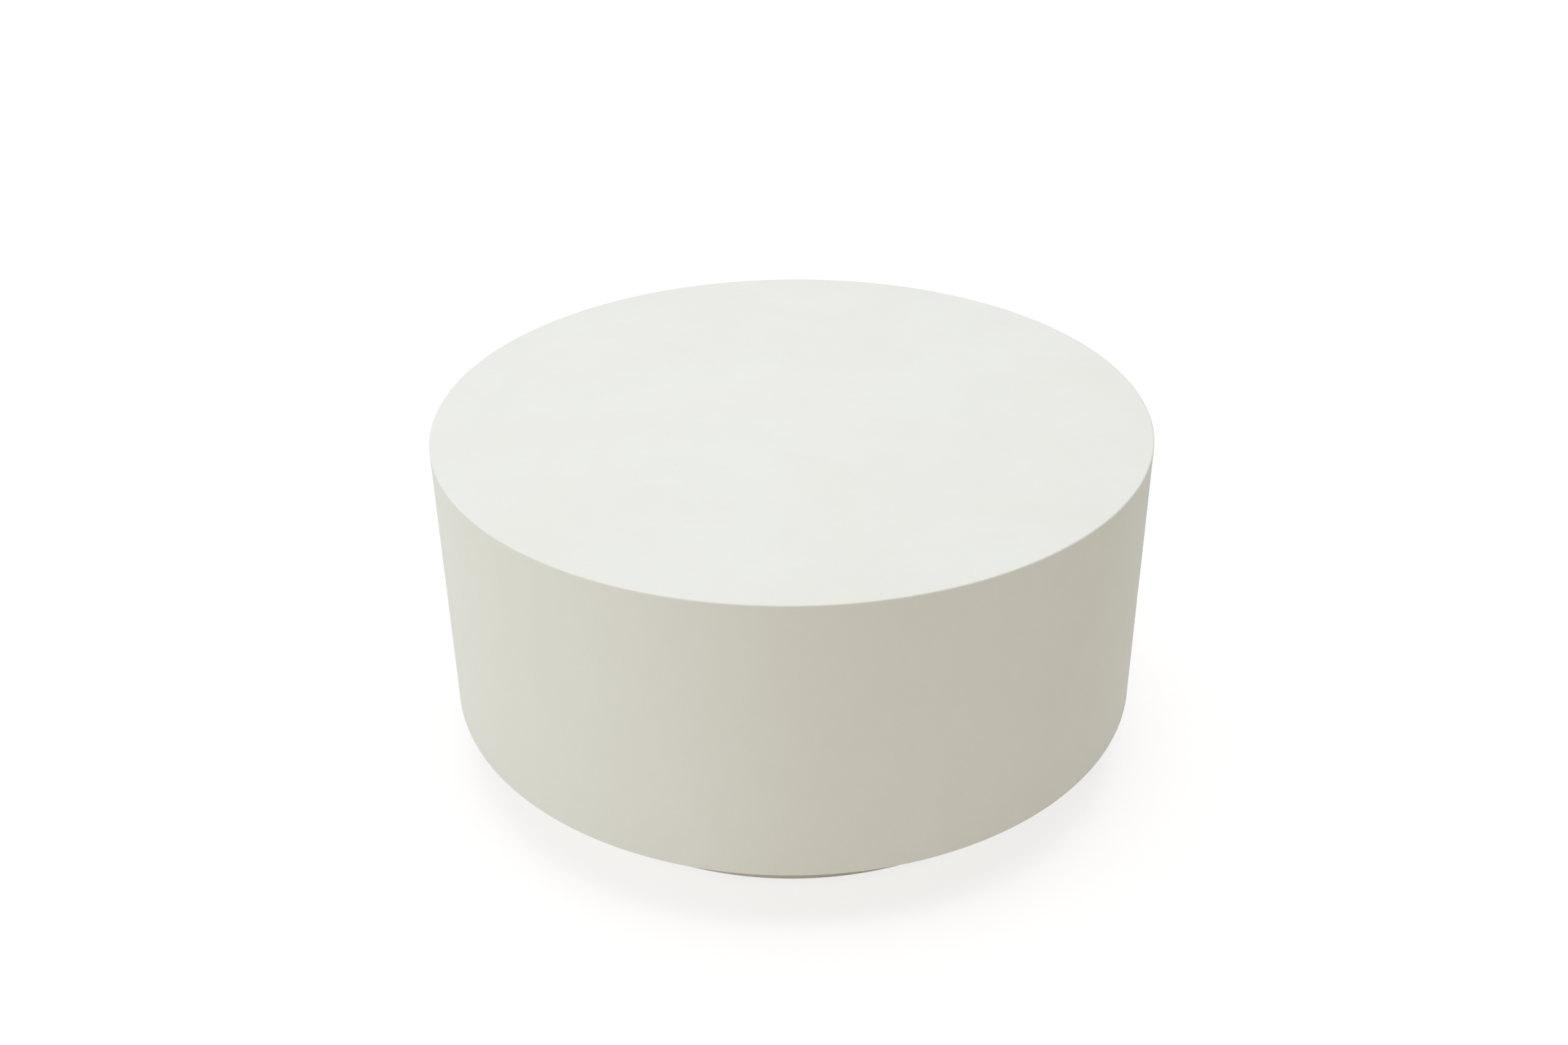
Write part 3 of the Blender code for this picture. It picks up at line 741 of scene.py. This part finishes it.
def ferrule_mesh(name, length, surface):
    """A blind threaded ferrule with a lip at its mouth and grooves that hold it in the concrete."""
    bm = bmesh.new()
    turn_round(bm, ferrule_outside(length))
    mouth = [(FERRULE_BORE_RADIUS + BORE_CHAMFER, 0), (FERRULE_BORE_RADIUS, BORE_CHAMFER)]
    turn_round(bm, mouth)
    crest = FERRULE_BORE_RADIUS - INNER_THREAD_DEPTH * BOLT_PITCH
    thread_end = FERRULE_BORE_DEPTH - FERRULE_BORE_RADIUS / 2
    size = (FERRULE_BORE_RADIUS, crest, BOLT_PITCH, INNER_THREAD_SHIFT)
    thread(bm, BORE_CHAMFER, thread_end, *size)
    turn_round(bm, [(FERRULE_BORE_RADIUS, thread_end), (0, FERRULE_BORE_DEPTH)])
    return finished(bm, name, surface)


def build_fixings(casting, places, seat, mouth, flipped, plated, bright):
    """Bolts from their seats on the board into ferrules with their mouths in a casting's face."""
    _, low, high = extent(f"{casting}_bolt_1")
    head, length = (high - seat, seat - low) if flipped else (seat - low, high - seat)
    bolt = bolt_mesh(f"{casting}_flange_bolt", head, length, plated)
    _, low, high = extent(f"{casting}_insert_1")
    ferrule = ferrule_mesh(f"{casting}_ferrule", high - low, bright)
    for number, (x, y) in enumerate(places, 1):
        dress(bolt, f"{casting}_bolt", number, (x, y, seat), flipped)
        dress(ferrule, f"{casting}_insert", number, (x, y, mouth), flipped)


# Feet, made on their own axis at their true heights
SLEEVE_MOUTH_RADIUS = SLEEVE_BORE_RADIUS + BORE_CHAMFER
BALL_CENTRE = BALL_BOTTOM + BALL_RADIUS


def threaded_bore(bm, bottom, top):
    """A bore that takes a foot's stem, with a chamfer at each mouth."""
    low = bottom + BORE_CHAMFER
    high = top - BORE_CHAMFER
    crest = SLEEVE_BORE_RADIUS - INNER_THREAD_DEPTH * STEM_PITCH
    turn_round(bm, [(SLEEVE_MOUTH_RADIUS, bottom), (SLEEVE_BORE_RADIUS, low)])
    thread(bm, low, high, SLEEVE_BORE_RADIUS, crest, STEM_PITCH, INNER_THREAD_SHIFT)
    turn_round(bm, [(SLEEVE_BORE_RADIUS, high), (SLEEVE_MOUTH_RADIUS, top)])


def sleeve_mesh(surface):
    """A collared sleeve that bears up on the plinth's flange."""
    bm = bmesh.new()
    shoulder = FLANGE_TOP - FLANGE_THICKNESS
    lip = FLANGE_TOP - FERRULE_LIP
    profile = [
        (SLEEVE_MOUTH_RADIUS, SLEEVE_BOTTOM),
        (SLEEVE_COLLAR_RADIUS - SLEEVE_COLLAR_EASE, SLEEVE_BOTTOM),
        (SLEEVE_COLLAR_RADIUS, SLEEVE_BOTTOM + SLEEVE_COLLAR_EASE),
        (SLEEVE_COLLAR_RADIUS, shoulder),
        (SLEEVE_RADIUS, shoulder),
        (SLEEVE_RADIUS, lip),
        (SLEEVE_HOLE_RADIUS, lip),
        (SLEEVE_HOLE_RADIUS, FLANGE_TOP),
        (SLEEVE_MOUTH_RADIUS, FLANGE_TOP),
    ]
    turn_round(bm, profile)
    threaded_bore(bm, SLEEVE_BOTTOM, FLANGE_TOP)
    return finished(bm, "foot_sleeve", surface)


def lock_nut_mesh(surface):
    """A thin hexagon nut, chamfered at both ends."""
    bm = bmesh.new()
    profile = [(SLEEVE_MOUTH_RADIUS, NUT_BOTTOM)]
    profile += hex_prism(NUT_FLAT_RADIUS, NUT_BOTTOM, NUT_TOP)
    profile += [(SLEEVE_MOUTH_RADIUS, NUT_TOP)]
    turn_round(bm, profile)
    threaded_bore(bm, NUT_BOTTOM, NUT_TOP)
    return finished(bm, "thin_lock_nut", surface)


def stem_mesh(surface):
    """Ball end, neck, chamfered hexagon collar and threaded stem, from the bottom up."""
    bm = bmesh.new()
    neck = degrees(acos(NECK_RADIUS / BALL_RADIUS))
    collar_top = NUT_BOTTOM - SEAT_GAP
    collar_bottom = collar_top - COLLAR_HEIGHT
    root = STEM_RADIUS - THREAD_DEPTH * STEM_PITCH
    thread_top = STEM_TOP - STEM_TIP_CHAMFER
    profile = arc(0, BALL_CENTRE, BALL_RADIUS, -90, neck, BALL_STEPS)
    profile[0] = (0, BALL_BOTTOM)
    profile += [(NECK_RADIUS, collar_bottom)]
    profile += hex_prism(NUT_FLAT_RADIUS, collar_bottom, collar_top)
    profile += [(root, collar_top)]
    turn_round(bm, profile)
    thread(bm, collar_top, thread_top, root, STEM_RADIUS, STEM_PITCH)
    tip = root - STEM_TIP_CHAMFER
    turn_round(bm, [(root, thread_top), (tip, STEM_TOP), (0, STEM_TOP)])
    return finished(bm, "levelling_stem", surface)


def fluted_ring(radius, height, depth):
    """A ring with shallow flutes round it."""
    def step(angle):
        share = (1 + cos(PAD_FLUTES * angle)) / 2
        return radius - depth * share ** 2, height

    return step


def pad_mesh(surface):
    """A moulded pad with a rounded rim, a fluted cone and an undercut socket that holds the ball."""
    bm = bmesh.new()
    mouth = degrees(acos(MOUTH_RADIUS / SOCKET_RADIUS))
    neck_radius = SOCKET_RADIUS + SOCKET_WALL
    shoulder = PAD_BOTTOM + PAD_EDGE
    slope = degrees(atan2(PAD_RADIUS - neck_radius, PAD_TOP - shoulder))
    small = PAD_ROUND / 2
    profile = [(0, PAD_BOTTOM)]
    profile += arc(PAD_RADIUS - small, PAD_BOTTOM + small, small, -90, 0)
    profile += arc(PAD_RADIUS - PAD_ROUND, shoulder - small, PAD_ROUND, 0, slope)
    cone_radius, cone_bottom = profile[-1]
    for share, depth in PAD_FLUTE_FORM:
        radius = cone_radius + (neck_radius - cone_radius) * share
        height = cone_bottom + (PAD_TOP - small - cone_bottom) * share
        profile.append(fluted_ring(radius, height, depth * PAD_FLUTE_DEPTH))
    profile += arc(neck_radius - small, PAD_TOP - small, small, slope, 90)
    profile += [(MOUTH_RADIUS, PAD_TOP)]
    profile += arc(0, BALL_CENTRE, SOCKET_RADIUS, mouth, -90, BALL_STEPS)
    profile[-1] = (0, BALL_CENTRE - SOCKET_RADIUS)
    turn_round(bm, profile, PAD_SEGMENTS)
    return finished(bm, "swivel_pad", surface)


def sole_mesh(surface):
    """A rubber disc with rounded edges and ring-shaped grooves underneath."""
    bm = bmesh.new()
    profile = [(0, SOLE_BOTTOM)]
    for middle in SOLE_GROOVES:
        for share, depth in SOLE_GROOVE_FORM:
            profile.append((middle + share * SOLE_GROOVE_WIDTH, SOLE_BOTTOM + depth * SOLE_GROOVE_DEPTH))
    profile += arc(SOLE_RADIUS - SOLE_ROUND, SOLE_BOTTOM + SOLE_ROUND, SOLE_ROUND, -90, 0)
    profile += [(SOLE_RADIUS, PAD_BOTTOM), (0, PAD_BOTTOM)]
    turn_round(bm, profile, PAD_SEGMENTS)
    return finished(bm, "grip_sole", surface)


def build_feet(plated, bright, nylon_surface, rubber_surface):
    """Sleeve and lock nut in the plinth, and the stem, pad and sole that move."""
    sleeve = sleeve_mesh(bright)
    nut = lock_nut_mesh(plated)
    stem = stem_mesh(plated)
    pad = pad_mesh(nylon_surface)
    sole = sole_mesh(rubber_surface)
    for number, place in enumerate(FOOT_SPOTS, 1):
        axis = (*place, 0)
        dress(sleeve, "foot_insert", number, axis)
        dress(nut, "foot_lock_nut", number, axis)
        dress(stem, "foot_stem", number, axis, body=f"foot_screw_{number}")
        dress(pad, "foot_pad", number, axis, body=f"foot_base_{number}")
        dress(sole, "foot_sole", number, axis, body=f"foot_base_{number}")


# Materials
def rgb(red, green, blue):
    return red, green, blue, 1.0


# Pale, dull and warm tones of each casting. The plinth is the drum's concrete, but its tones are darker and
# warmer: painted shade from the drum's overhang
DRUM_TONES = (rgb(0.817, 0.823, 0.786), rgb(0.785, 0.788, 0.748), rgb(0.806, 0.799, 0.760))
PLINTH_SHADED_TONES = (rgb(0.770, 0.739, 0.703), rgb(0.722, 0.687, 0.649), rgb(0.735, 0.689, 0.641))
CONCRETE_SPECULAR = 0.35
SPECK_COLOR = rgb(0.55, 0.53, 0.48)
SPECK_STRENGTH = 0.35

BIRCH_PALE = rgb(0.60, 0.43, 0.25)
BIRCH_DARK = rgb(0.49, 0.33, 0.18)
BIRCH_FIBRE = rgb(0.36, 0.23, 0.12)
PLY_PALE = rgb(0.58, 0.42, 0.25)
PLY_DARK = rgb(0.33, 0.21, 0.11)
GLUE_COLOR = rgb(0.16, 0.09, 0.05)
BIRCH_RINGS = 9.0
# Two plies of the board, one of them seen end on
PLY_PAIR = 0.00277

# Each rubber: dark and pale tones, and the scale of its grain
GASKET_RUBBER = (rgb(0.014, 0.014, 0.015), rgb(0.045, 0.044, 0.043), 1100)
SOLE_RUBBER = (rgb(0.018, 0.018, 0.018), rgb(0.060, 0.058, 0.055), 700)
FOAM_DARK = rgb(0.016, 0.016, 0.017)
FOAM_PALE = rgb(0.055, 0.055, 0.058)
NYLON_DARK = rgb(0.022, 0.022, 0.023)
NYLON_SCUFF = rgb(0.065, 0.064, 0.062)

# Each steel: bright and dull tones, the stretch of its fine lines, and its roughness
PLATED_STEEL = (rgb(0.66, 0.66, 0.64), rgb(0.52, 0.52, 0.50), (1, 1, 0.25), 0.26)
TURNED_STEEL = (rgb(0.62, 0.61, 0.59), rgb(0.47, 0.47, 0.47), (0.3, 0.3, 1), 0.30)
STEEL_WEAR = 0.12


class Graph:
    """The nodes of a material or of the sky."""

    def __init__(self, tree):
        self.nodes = tree.nodes
        self.links = tree.links

    def add(self, kind, values=None, **settings):
        """A node with settings, and inputs by name or number: plain values or other nodes' outputs."""
        node = self.nodes.new(kind)
        for name, value in settings.items():
            setattr(node, name, value)
        self.feed(node, values or {})
        return node

    def feed(self, node, values):
        for name, value in values.items():
            socket = node.inputs[name]
            if isinstance(value, bpy.types.NodeSocket):
                self.links.new(value, socket)
            else:
                socket.default_value = value

    def maths(self, operation, *values):
        return self.add("ShaderNodeMath", dict(enumerate(values)), operation=operation).outputs["Value"]

    def seen_or_not(self, seen, unseen):
        """One shader where the camera, a reflection or glass shows it, and another to give light."""
        path = self.add("ShaderNodeLightPath").outputs
        shown = self.maths("MAXIMUM", path["Is Camera Ray"], path["Is Glossy Ray"])
        shown = self.maths("MAXIMUM", shown, path["Is Transmission Ray"])
        return self.add("ShaderNodeMixShader", {0: shown, 1: unseen, 2: seen}).outputs["Shader"]


class Surface(Graph):
    """A material whose colour, gloss and relief come from nodes in the piece's own coordinates."""

    def __init__(self, name, metallic=0.0):
        self.material = bpy.data.materials.new(name)
        self.material.use_nodes = True
        super().__init__(self.material.node_tree)
        self.shader = self.nodes["Principled BSDF"]
        self.feed(self.shader, {"Metallic": metallic})
        where = self.add("ShaderNodeTexCoord")
        self.place = where.outputs["Object"]
        self.facing = where.outputs["Normal"]

    def upward(self, vector):
        return self.add("ShaderNodeSeparateXYZ", {"Vector": vector}).outputs["Z"]

    def noise(self, scale, detail=2.0, roughness=0.5, distortion=0.0, stretch=None):
        place = self.place
        if stretch:
            place = self.add("ShaderNodeMapping", {"Vector": place, "Scale": stretch}).outputs["Vector"]
        values = {"Vector": place, "Scale": scale, "Detail": detail}
        values |= {"Roughness": roughness, "Distortion": distortion}
        return self.add("ShaderNodeTexNoise", values).outputs["Fac"]

    def cells(self, scale):
        """Scattered cells, with a distance to each middle and a random colour for each."""
        return self.add("ShaderNodeTexVoronoi", {"Vector": self.place, "Scale": scale})

    def spread(self, value, low=0.0, high=1.0, start=0.0, end=1.0):
        """Maps a value from one range to another, and holds it there."""
        values = {"Value": value, "From Min": low, "From Max": high, "To Min": start, "To Max": end}
        return self.add("ShaderNodeMapRange", values).outputs["Result"]

    def total(self, *layers):
        """The sum of values that each have a weight."""
        total = 0.0
        for value, weight in layers:
            total = self.maths("ADD", total, self.maths("MULTIPLY", value, weight))
        return total

    def blend(self, share, first, second):
        colors = {"Fac": share, "Color1": first, "Color2": second}
        return self.add("ShaderNodeMixRGB", colors).outputs["Color"]

    def relief(self, height, distance, under=None):
        values = {"Height": height, "Distance": distance}
        if under:
            values["Normal"] = under
        return self.add("ShaderNodeBump", values).outputs["Normal"]

    def finish(self, color, roughness, normal):
        self.feed(self.shader, {"Base Color": color, "Roughness": roughness, "Normal": normal})
        return self.material


def concrete(name, pale, dull, warm):
    """Smooth cast concrete: faint blotches that drift down the sides, mottling, sand specks and grain."""
    look = Surface(name)
    look.feed(look.shader, {"Specular IOR Level": CONCRETE_SPECULAR})
    clouds = look.noise(scale=5.5, detail=7, roughness=0.62, distortion=0.5)
    drifts = look.noise(scale=8, detail=6, roughness=0.6, distortion=0.3, stretch=(1.0, 1.0, 0.3))
    mottling = look.noise(scale=34, detail=4, roughness=0.6)
    dust = look.noise(scale=210, detail=3, roughness=0.6)
    share = look.total(
        (look.spread(clouds, low=0.40, high=0.60), 0.20),
        (look.spread(drifts, low=0.42, high=0.60), 0.36),
        (look.spread(mottling, low=0.56, high=0.72), 0.22),
        (dust, 0.22),
    )
    color = look.blend(share, pale, dull)
    tint = look.noise(scale=6, detail=6, roughness=0.6, distortion=0.6, stretch=(1.0, 1.0, 0.4))
    color = look.blend(look.spread(tint, low=0.45, high=0.62, end=0.5), color, warm)
    sand = look.cells(scale=620)
    chosen = look.spread(sand.outputs["Color"], low=0.86, high=0.92)
    near = look.spread(sand.outputs["Distance"], low=0.16, high=0.34, start=1.0, end=0.0)
    speck = look.maths("MULTIPLY", look.maths("MULTIPLY", chosen, near), SPECK_STRENGTH)
    color = look.blend(speck, color, SPECK_COLOR)
    polish = look.noise(scale=24, detail=5, roughness=0.6)
    roughness = look.spread(polish, low=0.3, high=0.7, start=0.56, end=0.70)
    grain = look.relief(look.noise(scale=1500), distance=0.00004)
    skin = look.noise(scale=130, detail=4, roughness=0.6)
    return look.finish(color, roughness, look.relief(skin, distance=0.00022, under=grain))


def plywood():
    """Birch board: long grain on both faces, and plies with glue lines round the edges."""
    look = Surface("birch_plywood")
    warp = look.noise(scale=2.2, detail=3, stretch=(0.6, 5, 5))
    rings = look.maths("FRACT", look.maths("MULTIPLY", warp, BIRCH_RINGS))
    fibre = look.noise(scale=60, detail=4, roughness=0.65, stretch=(0.35, 9, 9))
    figure = look.blend(rings, BIRCH_PALE, BIRCH_DARK)
    face = look.blend(look.spread(fibre, low=0.35, high=0.72, end=0.55), figure, BIRCH_FIBRE)

    height = look.maths("SUBTRACT", look.upward(look.place), BOARD_BOTTOM)
    ply = look.maths("FRACT", look.maths("DIVIDE", height, PLY_PAIR))
    plies = look.blend(look.spread(ply, low=0.47, high=0.53), PLY_PALE, PLY_DARK)
    from_joint = look.maths("ABSOLUTE", look.maths("SUBTRACT", ply, 0.5))
    edge = look.blend(look.spread(from_joint, high=0.07, start=0.7, end=0.0), plies, GLUE_COLOR)

    flat = look.spread(look.maths("ABSOLUTE", look.upward(look.facing)), low=0.6, high=0.8)
    roughness = look.spread(fibre, low=0.3, high=0.7, start=0.5, end=0.68)
    return look.finish(look.blend(flat, edge, face), roughness, look.relief(fibre, distance=0.00025))


def rubber(name, dark, pale, grain):
    """Dark rubber with a dusty bloom and a fine moulded grain."""
    look = Surface(name)
    bloom = look.spread(look.noise(scale=45, detail=5, roughness=0.65), low=0.4, high=0.75)
    roughness = look.spread(bloom, start=0.62, end=0.85)
    texture = look.noise(scale=grain, detail=3)
    return look.finish(look.blend(bloom, dark, pale), roughness, look.relief(texture, distance=0.0001))


def foam():
    """Closed-cell foam: small cells with pale walls between them."""
    look = Surface("black_foam")
    cell = look.cells(scale=900).outputs["Distance"]
    color = look.blend(look.spread(cell, low=0.25, high=0.6), FOAM_DARK, FOAM_PALE)
    roughness = look.spread(look.noise(scale=80, detail=3), low=0.3, high=0.7, start=0.8, end=0.95)
    return look.finish(color, roughness, look.relief(cell, distance=0.0003))


def steel(name, bright, dull, stretch, roughness):
    """Plated or turned steel: fine lines along the work, blotches in the plating and worn gloss."""
    look = Surface(name, metallic=1.0)
    blotch = look.spread(look.noise(scale=190, detail=4, roughness=0.6), low=0.3, high=0.7)
    lines = look.noise(scale=900, detail=3, roughness=0.6, stretch=stretch)
    color = look.blend(look.total((blotch, 0.5), (lines, 0.5)), bright, dull)
    worn = look.spread(blotch, start=roughness, end=roughness + STEEL_WEAR)
    worn = look.maths("ADD", worn, look.maths("MULTIPLY", lines, 0.1))
    return look.finish(color, worn, look.relief(lines, distance=0.00003))


def nylon():
    """Black moulded nylon with a fine spark-eroded texture."""
    look = Surface("black_nylon")
    texture = look.noise(scale=1400, detail=3, roughness=0.6)
    scuffs = look.noise(scale=120, detail=5, roughness=0.7, stretch=(1, 1, 0.3))
    scuffs = look.spread(scuffs, low=0.55, high=0.8)
    color = look.blend(scuffs, NYLON_DARK, NYLON_SCUFF)
    roughness = look.spread(scuffs, start=0.44, end=0.62)
    return look.finish(color, roughness, look.relief(texture, distance=0.00008))


# Camera, floor and light
CAMERA_SPOT = (0.0, -1.7178, 1.2464)
CAMERA_PITCH = radians(29.914)
CAMERA_YAW = radians(-0.308)
CAMERA_ROLL = radians(-0.579)
CAMERA_LENS = 39.16
CAMERA_SENSOR = 36.0


def build_camera():
    data = bpy.data.cameras.new("photo_camera")
    data.lens = CAMERA_LENS
    data.sensor_width = CAMERA_SENSOR
    data.sensor_fit = "HORIZONTAL"
    camera = bpy.data.objects.new("photo_camera", data)
    bpy.context.collection.objects.link(camera)
    turn = Matrix.Rotation(-CAMERA_YAW, 4, "Z") @ Matrix.Rotation(pi / 2 - CAMERA_PITCH, 4, "X")
    turn = turn @ Matrix.Rotation(CAMERA_ROLL, 4, "Z")
    camera.matrix_world = Matrix.Translation(CAMERA_SPOT) @ turn
    bpy.context.scene.camera = camera


FLOOR_RADIUS = 40.0
FLOOR_SEGMENTS = 128
FLOOR_COLOR = rgb(0.92, 0.90, 0.86)
SEEN_FLOOR_COLOR = rgb(0.35, 0.345, 0.34)
# The glow that whitens the floor: strengths near the table and far off, and the distances where they hold
NEAR_GLOW = 0.76
FAR_GLOW = 1.0
GLOW_NEAR = 1.0
GLOW_FAR = 3.5


def floor_surface():
    """Matte to the light that falls on the table, but seen white with the table's shadow on it."""
    look = Surface("pale_floor")
    look.nodes.remove(look.shader)
    matte = look.add("ShaderNodeBsdfDiffuse", {"Color": FLOOR_COLOR}).outputs["BSDF"]
    shaded = look.add("ShaderNodeBsdfDiffuse", {"Color": SEEN_FLOOR_COLOR}).outputs["BSDF"]
    away = look.add("ShaderNodeVectorMath", {"Vector": look.place}, operation="LENGTH").outputs["Value"]
    level = look.spread(away, low=GLOW_NEAR, high=GLOW_FAR, start=NEAR_GLOW, end=FAR_GLOW)
    glow = look.add("ShaderNodeEmission", {"Strength": level}).outputs["Emission"]
    seen = look.add("ShaderNodeAddShader", {0: shaded, 1: glow}).outputs["Shader"]
    look.feed(look.nodes["Material Output"], {"Surface": look.seen_or_not(seen, matte)})
    return look.material


def build_floor():
    bm = bmesh.new()
    bmesh.ops.create_circle(bm, cap_ends=True, segments=FLOOR_SEGMENTS, radius=FLOOR_RADIUS)
    mesh = bpy.data.meshes.new("floor")
    bm.to_mesh(mesh)
    bm.free()
    mesh.materials.append(floor_surface())
    floor_piece = bpy.data.objects.new("floor", mesh)
    bpy.context.collection.objects.link(floor_piece)


# Each lamp: name, place, what it faces, width of its square, power in watts and colour
LAMPS = (
    ("overhead_softbox", (0.0, 0.2, 3.2), (0, 0, 0.4), 3.2, 85.5, (0.98, 0.99, 1.0)),
    ("left_softbox", (-2.8, -0.6, 1.3), (0, 0, 0.25), 1.6, 18.2, (0.95, 0.98, 1.0)),
    ("left_front_softbox", (-1.9, -2.3, 0.8), (0, 0, 0.2), 1.5, 8.6, (0.95, 1.0, 0.73)),
    ("front_reflector", (0.2, -3.2, 0.8), (0, 0, 0.2), 1.5, 9.4, (1.0, 0.80, 0.67)),
    ("right_reflector", (2.8, -0.4, 0.8), (0, 0, 0.25), 1.5, 5.6, (1.0, 0.90, 0.50)),
)
SKY_COLOR = rgb(1.0, 1.0, 0.97)
SKY_STRENGTH = 0.17
BACKDROP_COLOR = rgb(1.0, 1.0, 1.0)


def build_lamps():
    for name, place, target, width, power, color in LAMPS:
        data = bpy.data.lights.new(name, "AREA")
        data.shape = "SQUARE"
        data.size = width
        data.energy = power
        data.color = color
        lamp = bpy.data.objects.new(name, data)
        bpy.context.collection.objects.link(lamp)
        lamp.location = place
        lamp.rotation_euler = (Vector(target) - Vector(place)).to_track_quat("-Z", "Y").to_euler()
        lamp.visible_camera = False


def build_sky():
    """Soft light from all round, and a white background where the camera or a reflection sees it."""
    world = bpy.data.worlds.new("studio")
    bpy.context.scene.world = world
    world.use_nodes = True
    graph = Graph(world.node_tree)
    graph.nodes.clear()
    light = graph.add("ShaderNodeBackground", {"Color": SKY_COLOR, "Strength": SKY_STRENGTH})
    backdrop = graph.add("ShaderNodeBackground", {"Color": BACKDROP_COLOR})
    chosen = graph.seen_or_not(backdrop.outputs["Background"], light.outputs["Background"])
    graph.add("ShaderNodeOutputWorld", {"Surface": chosen})


def build_table():
    build_drum(concrete("drum_concrete", *DRUM_TONES))
    # The plinth's colour carries painted shade: the drum's concrete, darkened and warmed
    build_plinth(concrete("plinth_concrete", *PLINTH_SHADED_TONES))
    build_board(plywood())
    build_gaskets(foam(), rubber("black_gasket", *GASKET_RUBBER))
    plated = steel("zinc_plated_steel", *PLATED_STEEL)
    bright = steel("turned_steel", *TURNED_STEEL)
    build_fixings("drum", DRUM_BOLT_SPOTS, BOARD_BOTTOM, LUG_BOTTOM, False, plated, bright)
    build_fixings("plinth", PLINTH_BOLT_SPOTS, BOARD_TOP, PLINTH_TOP, True, plated, bright)
    build_feet(plated, bright, nylon(), rubber("black_sole_rubber", *SOLE_RUBBER))


bpy.context.scene.view_settings.view_transform = "Standard"
build_camera()
build_floor()
build_lamps()
build_sky()
build_table()
